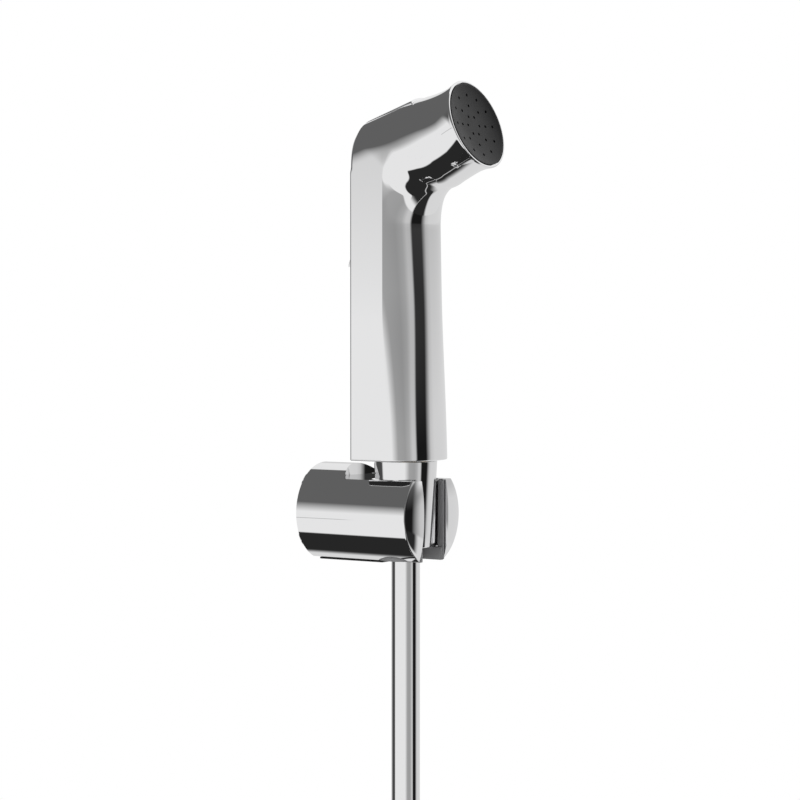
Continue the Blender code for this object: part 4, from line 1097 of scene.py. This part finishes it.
def surface(
    name, colour, roughness, metallic=0.0,
    uneven=0.0, grain=0.0, scale=METAL_SCALE, stretch=1.0, tint=0.0, shine=0.5,
):
    """A slot's name, and a Principled material with noise in its gloss, colour and fine relief.

    uneven is how far the roughness wanders, grain the height of the relief in metres, scale the
    relief's fineness per metre, stretch how much longer the grain is along Z, tint how far the
    colour wanders, and shine how strongly a surface that isn't metal mirrors.
    """
    made, nodes = new_material(name)
    where = nodes.add("ShaderNodeTexCoord").outputs["Object"]
    longer = nodes.add("ShaderNodeMapping", Vector=where, Scale=(1.0, 1.0, 1.0 / stretch)).outputs[0]
    coarse_scale = COARSE_SHARE * scale
    broad = nodes.add("ShaderNodeTexNoise", Vector=longer, Scale=coarse_scale, Detail=4.0).outputs["Fac"]
    fine = nodes.add("ShaderNodeTexNoise", Vector=longer, Scale=scale, Detail=3.0).outputs["Fac"]
    shader = nodes.add("ShaderNodeBsdfPrincipled", Metallic=metallic, Specular_IOR_Level=shine)
    off_middle = nodes.math("SUBTRACT", broad, 0.5)
    nodes.feed(shader.inputs["Roughness"], nodes.math("MULTIPLY_ADD", off_middle, 2.0 * uneven, roughness))
    low = tuple(max(0.0, c * (1 - tint)) for c in colour)
    high = tuple(min(1.0, c * (1 + tint)) for c in colour)
    nodes.feed(shader.inputs["Base Color"], nodes.mix(broad, (*low, 1.0), (*high, 1.0)))
    bump = nodes.add("ShaderNodeBump", Strength=1.0, Distance=grain, Height=fine)
    nodes.feed(shader.inputs["Normal"], bump.outputs[0])
    nodes.add("ShaderNodeOutputMaterial", Surface=shader.outputs[0])
    return name, made


def make_surfaces():
    """Every surface of the object, by the name of its slot."""
    pale = {"uneven": 0.06, "scale": PLASTIC_SCALE}
    black = {"uneven": 0.05, "scale": PLASTIC_SCALE, "shine": 0.28}
    rubber = {"uneven": 0.08, "scale": RUBBER_SCALE}
    made = (
        surface("chrome", (0.88, 0.88, 0.885), 0.025, 1.0, uneven=0.008, grain=0.0000002),
        surface("hose_chrome", (0.87, 0.87, 0.875), 0.04, 1.0, uneven=0.012, grain=0.0000004),
        surface("brass", (0.72, 0.52, 0.24), 0.28, 1.0, uneven=0.08, grain=0.000003, tint=0.06),
        surface("steel", (0.6, 0.6, 0.61), 0.26, 1.0, uneven=0.06, grain=0.000002, stretch=8.0),
        surface("black_plastic", (0.01, 0.01, 0.011), 0.36, grain=0.000006, tint=0.1, **black),
        surface("grey_plastic", (0.28, 0.28, 0.285), 0.42, grain=0.000006, tint=0.04, **pale),
        surface("white_plastic", (0.78, 0.78, 0.76), 0.4, grain=0.000004, tint=0.02, **pale),
        surface("rubber", (0.035, 0.035, 0.036), 0.7, grain=0.00001, tint=0.12, **rubber),
    )
    return dict(made)


# Directions of the studio: from the object towards the camera's side, and to the camera's right
FRONT = Vector((math.sin(CAMERA_AZIMUTH), -math.cos(CAMERA_AZIMUTH), 0))
RIGHT = Vector((math.cos(CAMERA_AZIMUTH), math.sin(CAMERA_AZIMUTH), 0))

# Cards round the object: degrees from FRONT, positive to the right, and brightness
WALL_CARDS = (
    (-180, 0.84),
    (-140, 0.60),
    (-132, 0.07),
    (-98, 0.07),
    (-91, 0.88),
    (-4, 0.88),
    (14, 0.39),
    (32, 0.36),
    (42, 0.44),
    (50, 0.62),
    (57, 0.60),
    (61, 0.01),
    (85, 0.01),
    (98, 0.60),
    (108, 0.70),
    (180, 0.75),
)

# Cards above: brightness, and degrees round or up; BEHIND_SPREAD is degrees round per degree up
CEILING_LEVEL = 0.127
CEILING_START = 0.0
CEILING_FULL = 18.0
WINDOW_LEVEL = 0.95
WINDOW_FROM = 86.0
WINDOW_TO = 98.0
WINDOW_START = 4.0
WINDOW_FULL = 14.0
BEHIND_LEVEL = 0.84
BEHIND_HALF = 6.0
BEHIND_SPREAD = 0.3
BEHIND_SOFT = 3.0

# The mirrored floor: its far edge in degrees up, and places on it in heights above it
FLOOR_EDGE = -12.3
FLOOR_EDGE_SOFT = 1.0
NEAR_FLOOR_LEVEL = 0.88
DARK_FLOOR_LEVEL = 0.022
FAR_FLOOR_LEVEL = 0.75
DARK_FLOOR_NEAR = -0.80
DARK_FLOOR_SOFT = 0.05
DARK_FLOOR_FULL_TO = 1.76
DARK_FLOOR_END = 2.86
FAR_FLOOR_START = 0.22
FAR_FLOOR_FULL = 0.58
STRIP_AT = 0.107
STRIP_HALF = 0.026
STRIP_CORE = 0.0104
STRIP_START = -0.35
STRIP_FULL = -0.25
STRIP_LEVEL = 0.50
LEAST_DOWN = 0.001

# Dark screen on the floor and bright seam along its edge: degrees round, but up for SEAM_HALF and SEAM_CORE
SCREEN_START = 57.0
SCREEN_FULL_FROM = 60.0
SCREEN_FULL_TO = 88.0
SCREEN_END = 96.0
SEAM_HALF = 0.9
SEAM_CORE = 0.27
SEAM_FULL_TO = -69.0
SEAM_END = -67.5
SEAM_LEVEL = 0.52

# Floor under the object: its colour to bounced light and to the camera, and its own glow to the camera
FLOOR_Z = cad_low.z - 0.04
FLOOR_RADIUS = 1.35
FLOOR_ROUND = 96
FLOOR_BOUNCE = 0.8
FLOOR_SEEN = 0.3
FLOOR_GLOW = 0.78

# Piece of wall beside the holder
WALL_BEHIND = 0.0002
WALL_HOLE_RADIUS = HOLDER_RADIUS + 0.0001
WALL_FAR = -0.0600
WALL_HALF_HEIGHT = 0.0200

# What the lamps are aimed at
LAMP_AIM = Vector((SEAT_X, 0, 0.06))


def make_world():
    """The studio round the object, as polished metal mirrors it."""
    world = bpy.data.worlds.new("studio")
    bpy.context.scene.world = world
    world.use_nodes = True
    nodes = Nodes(world.node_tree)
    ray = nodes.add("ShaderNodeTexCoord").outputs["Generated"]

    def along(axis):
        node = nodes.add("ShaderNodeVectorMath", {"operation": "DOT_PRODUCT"})
        nodes.feed(node.inputs[0], ray)
        nodes.feed(node.inputs[1], axis)
        return node.outputs["Value"]

    def rise(value, start, end, kind="SMOOTHSTEP"):
        settings = {"interpolation_type": kind}
        node = nodes.add("ShaderNodeMapRange", settings, Value=value, From_Min=start, From_Max=end)
        return node.outputs["Result"]

    front, right, up = along(FRONT), along(RIGHT), along(UP)
    azimuth = nodes.math("MULTIPLY", nodes.math("ARCTAN2", right, front), 180 / math.pi)
    height = nodes.math("MULTIPLY", nodes.math("ARCSINE", up), 180 / math.pi)
    share = nodes.math("MULTIPLY_ADD", azimuth, 1 / 360, 0.5)
    walls = nodes.ramp(share, [(0.5 + a / 360, level) for a, level in WALL_CARDS])

    ceiling = rise(height, CEILING_START, CEILING_FULL, "LINEAR")
    room = nodes.mix(ceiling, walls, grey(CEILING_LEVEL))
    high = rise(height, WINDOW_START, WINDOW_FULL)
    window = nodes.math("MULTIPLY", rise(azimuth, WINDOW_FROM, WINDOW_TO), high)
    room = nodes.mix(window, room, grey(WINDOW_LEVEL))
    away = nodes.math("SUBTRACT", 180.0, nodes.math("ABSOLUTE", azimuth))
    away = nodes.math("SUBTRACT", away, nodes.math("MULTIPLY", height, BEHIND_SPREAD))
    behind = nodes.math("MULTIPLY", rise(away, BEHIND_HALF + BEHIND_SOFT, BEHIND_HALF), high)
    room = nodes.mix(behind, room, grey(BEHIND_LEVEL))

    down = nodes.math("MAXIMUM", nodes.math("MULTIPLY", up, -1.0), LEAST_DOWN)
    sideways = nodes.math("DIVIDE", along(Y_AXIS), down)
    outwards = nodes.math("DIVIDE", along(X_AXIS), down)
    dark = rise(sideways, DARK_FLOOR_NEAR - DARK_FLOOR_SOFT, DARK_FLOOR_NEAR + DARK_FLOOR_SOFT)
    dark = nodes.math("MULTIPLY", dark, rise(outwards, DARK_FLOOR_END, DARK_FLOOR_FULL_TO))
    floor = nodes.mix(dark, grey(NEAR_FLOOR_LEVEL), grey(DARK_FLOOR_LEVEL))
    floor = nodes.mix(rise(sideways, FAR_FLOOR_START, FAR_FLOOR_FULL), floor, grey(FAR_FLOOR_LEVEL))
    screen = rise(azimuth, SCREEN_START, SCREEN_FULL_FROM)
    screen = nodes.math("MULTIPLY", screen, rise(azimuth, SCREEN_END, SCREEN_FULL_TO))
    floor = nodes.mix(screen, floor, grey(DARK_FLOOR_LEVEL))
    off_strip = nodes.math("ABSOLUTE", nodes.math("SUBTRACT", sideways, STRIP_AT))
    strip = rise(off_strip, STRIP_HALF, STRIP_CORE)
    strip = nodes.math("MULTIPLY", strip, rise(outwards, STRIP_START, STRIP_FULL))
    floor = nodes.mix(strip, floor, grey(STRIP_LEVEL))
    room = nodes.mix(rise(height, FLOOR_EDGE + FLOOR_EDGE_SOFT, FLOOR_EDGE - FLOOR_EDGE_SOFT), room, floor)
    off_seam = nodes.math("ABSOLUTE", nodes.math("SUBTRACT", height, FLOOR_EDGE))
    seam = nodes.math("MULTIPLY", rise(off_seam, SEAM_HALF, SEAM_CORE), rise(azimuth, SEAM_END, SEAM_FULL_TO))
    room = nodes.mix(seam, room, grey(SEAM_LEVEL))

    seen = nodes.add("ShaderNodeLightPath").outputs["Is Camera Ray"]
    shown = nodes.mix(seen, room, grey(1.0))
    background = nodes.add("ShaderNodeBackground", Color=shown, Strength=1.0)
    nodes.add("ShaderNodeOutputWorld", Surface=background.outputs[0])


def make_floor():
    """A pale floor that is white to the camera but for the object's soft shadow."""
    made, nodes = new_material("floor")
    seen = nodes.add("ShaderNodeLightPath").outputs["Is Camera Ray"]
    colour = nodes.mix(seen, grey(FLOOR_BOUNCE), grey(FLOOR_SEEN))
    diffuse = nodes.add("ShaderNodeBsdfDiffuse", Color=colour)
    glow = nodes.add("ShaderNodeEmission", Strength=nodes.math("MULTIPLY", seen, FLOOR_GLOW))
    both = nodes.add("ShaderNodeAddShader", i0=diffuse.outputs[0], i1=glow.outputs[0])
    nodes.add("ShaderNodeOutputMaterial", Surface=both.outputs[0])

    def build(work):
        matrix = Matrix.Translation((SEAT_X, 0, FLOOR_Z))
        bmesh.ops.create_circle(work, cap_ends=True, segments=FLOOR_ROUND, radius=FLOOR_RADIUS, matrix=matrix)

    floor = place("floor", build, made, smooth_shade=False)
    floor.visible_glossy = False


def make_wall():
    """A pale piece of wall beside the holder, which the ends of the two wall screws are in."""
    made, nodes = new_material("wall")
    seen = nodes.add("ShaderNodeLightPath").outputs["Is Camera Ray"]
    glow = nodes.add("ShaderNodeEmission", Strength=1.0)
    clear = nodes.add("ShaderNodeBsdfTransparent")
    both = nodes.add("ShaderNodeMixShader", i0=seen, i1=clear.outputs[0], i2=glow.outputs[0])
    nodes.add("ShaderNodeOutputMaterial", Surface=both.outputs[0])

    def build(work):
        corners = [(WALL_FAR, -WALL_HALF_HEIGHT), (WALL_FAR, WALL_HALF_HEIGHT)]
        for z in between(WALL_HALF_HEIGHT, -WALL_HALF_HEIGHT, 32):
            corners.append((-math.sqrt(WALL_HOLE_RADIUS**2 - z**2), z))
        work.faces.new([work.verts.new((-WALL_BEHIND, y, z)) for y, z in corners])

    wall = place("wall_beside", build, made, smooth_shade=False)
    wall.visible_glossy = False
    wall.visible_shadow = False


def make_lamp(name, azimuth, elevation, distance, size, power):
    """A soft square lamp aimed at the hand spray, which no polished surface mirrors."""
    a, e = math.radians(azimuth), math.radians(elevation)
    flat = FRONT * math.cos(a) + RIGHT * math.sin(a)
    aim = flat * math.cos(e) + UP * math.sin(e)
    data = bpy.data.lights.new(name, "AREA")
    data.shape = "SQUARE"
    data.size = size
    data.energy = power
    lamp = bpy.data.objects.new(name, data)
    lamp.location = LAMP_AIM + aim * distance
    lamp.rotation_mode = "QUATERNION"
    lamp.rotation_quaternion = aim.to_track_quat("Z", "Y")
    lamp.visible_glossy = False
    bpy.context.scene.collection.objects.link(lamp)


def make_lamps():
    """A key from the upper left, a fill from the right, and one from above."""
    make_lamp("key", azimuth=-40, elevation=35, distance=1.4, size=0.9, power=7.0)
    make_lamp("fill", azimuth=55, elevation=20, distance=1.5, size=0.9, power=4.0)
    make_lamp("top", azimuth=180, elevation=70, distance=1.5, size=1.0, power=5.0)


def repaint(surfaces):
    """Gives every CAD node its own kind of surface."""
    slots = {row["node"]: row["material_slot"] for row in frame["record"]["subparts"]}
    for name, node in frame["nodes"].items():
        node.data.materials.clear()
        node.data.materials.append(surfaces[slots[name]])
        resharpen(node)


def main():
    bpy.context.scene.view_settings.view_transform = "Standard"
    surfaces = make_surfaces()
    make_camera()
    hose = make_hose(surfaces["hose_chrome"])
    tie = make_tie(surfaces["black_plastic"])
    nut = make_outlet_nut(surfaces["chrome"])
    make_shell(surfaces["chrome"])
    make_lever(surfaces["chrome"])
    make_face(surfaces["black_plastic"])
    make_hose_nut(surfaces["chrome"])
    make_holder(surfaces["chrome"])
    make_seat_collar(surfaces["grey_plastic"])
    repaint(surfaces)
    make_world()
    make_floor()
    make_wall()
    make_lamps()


main()
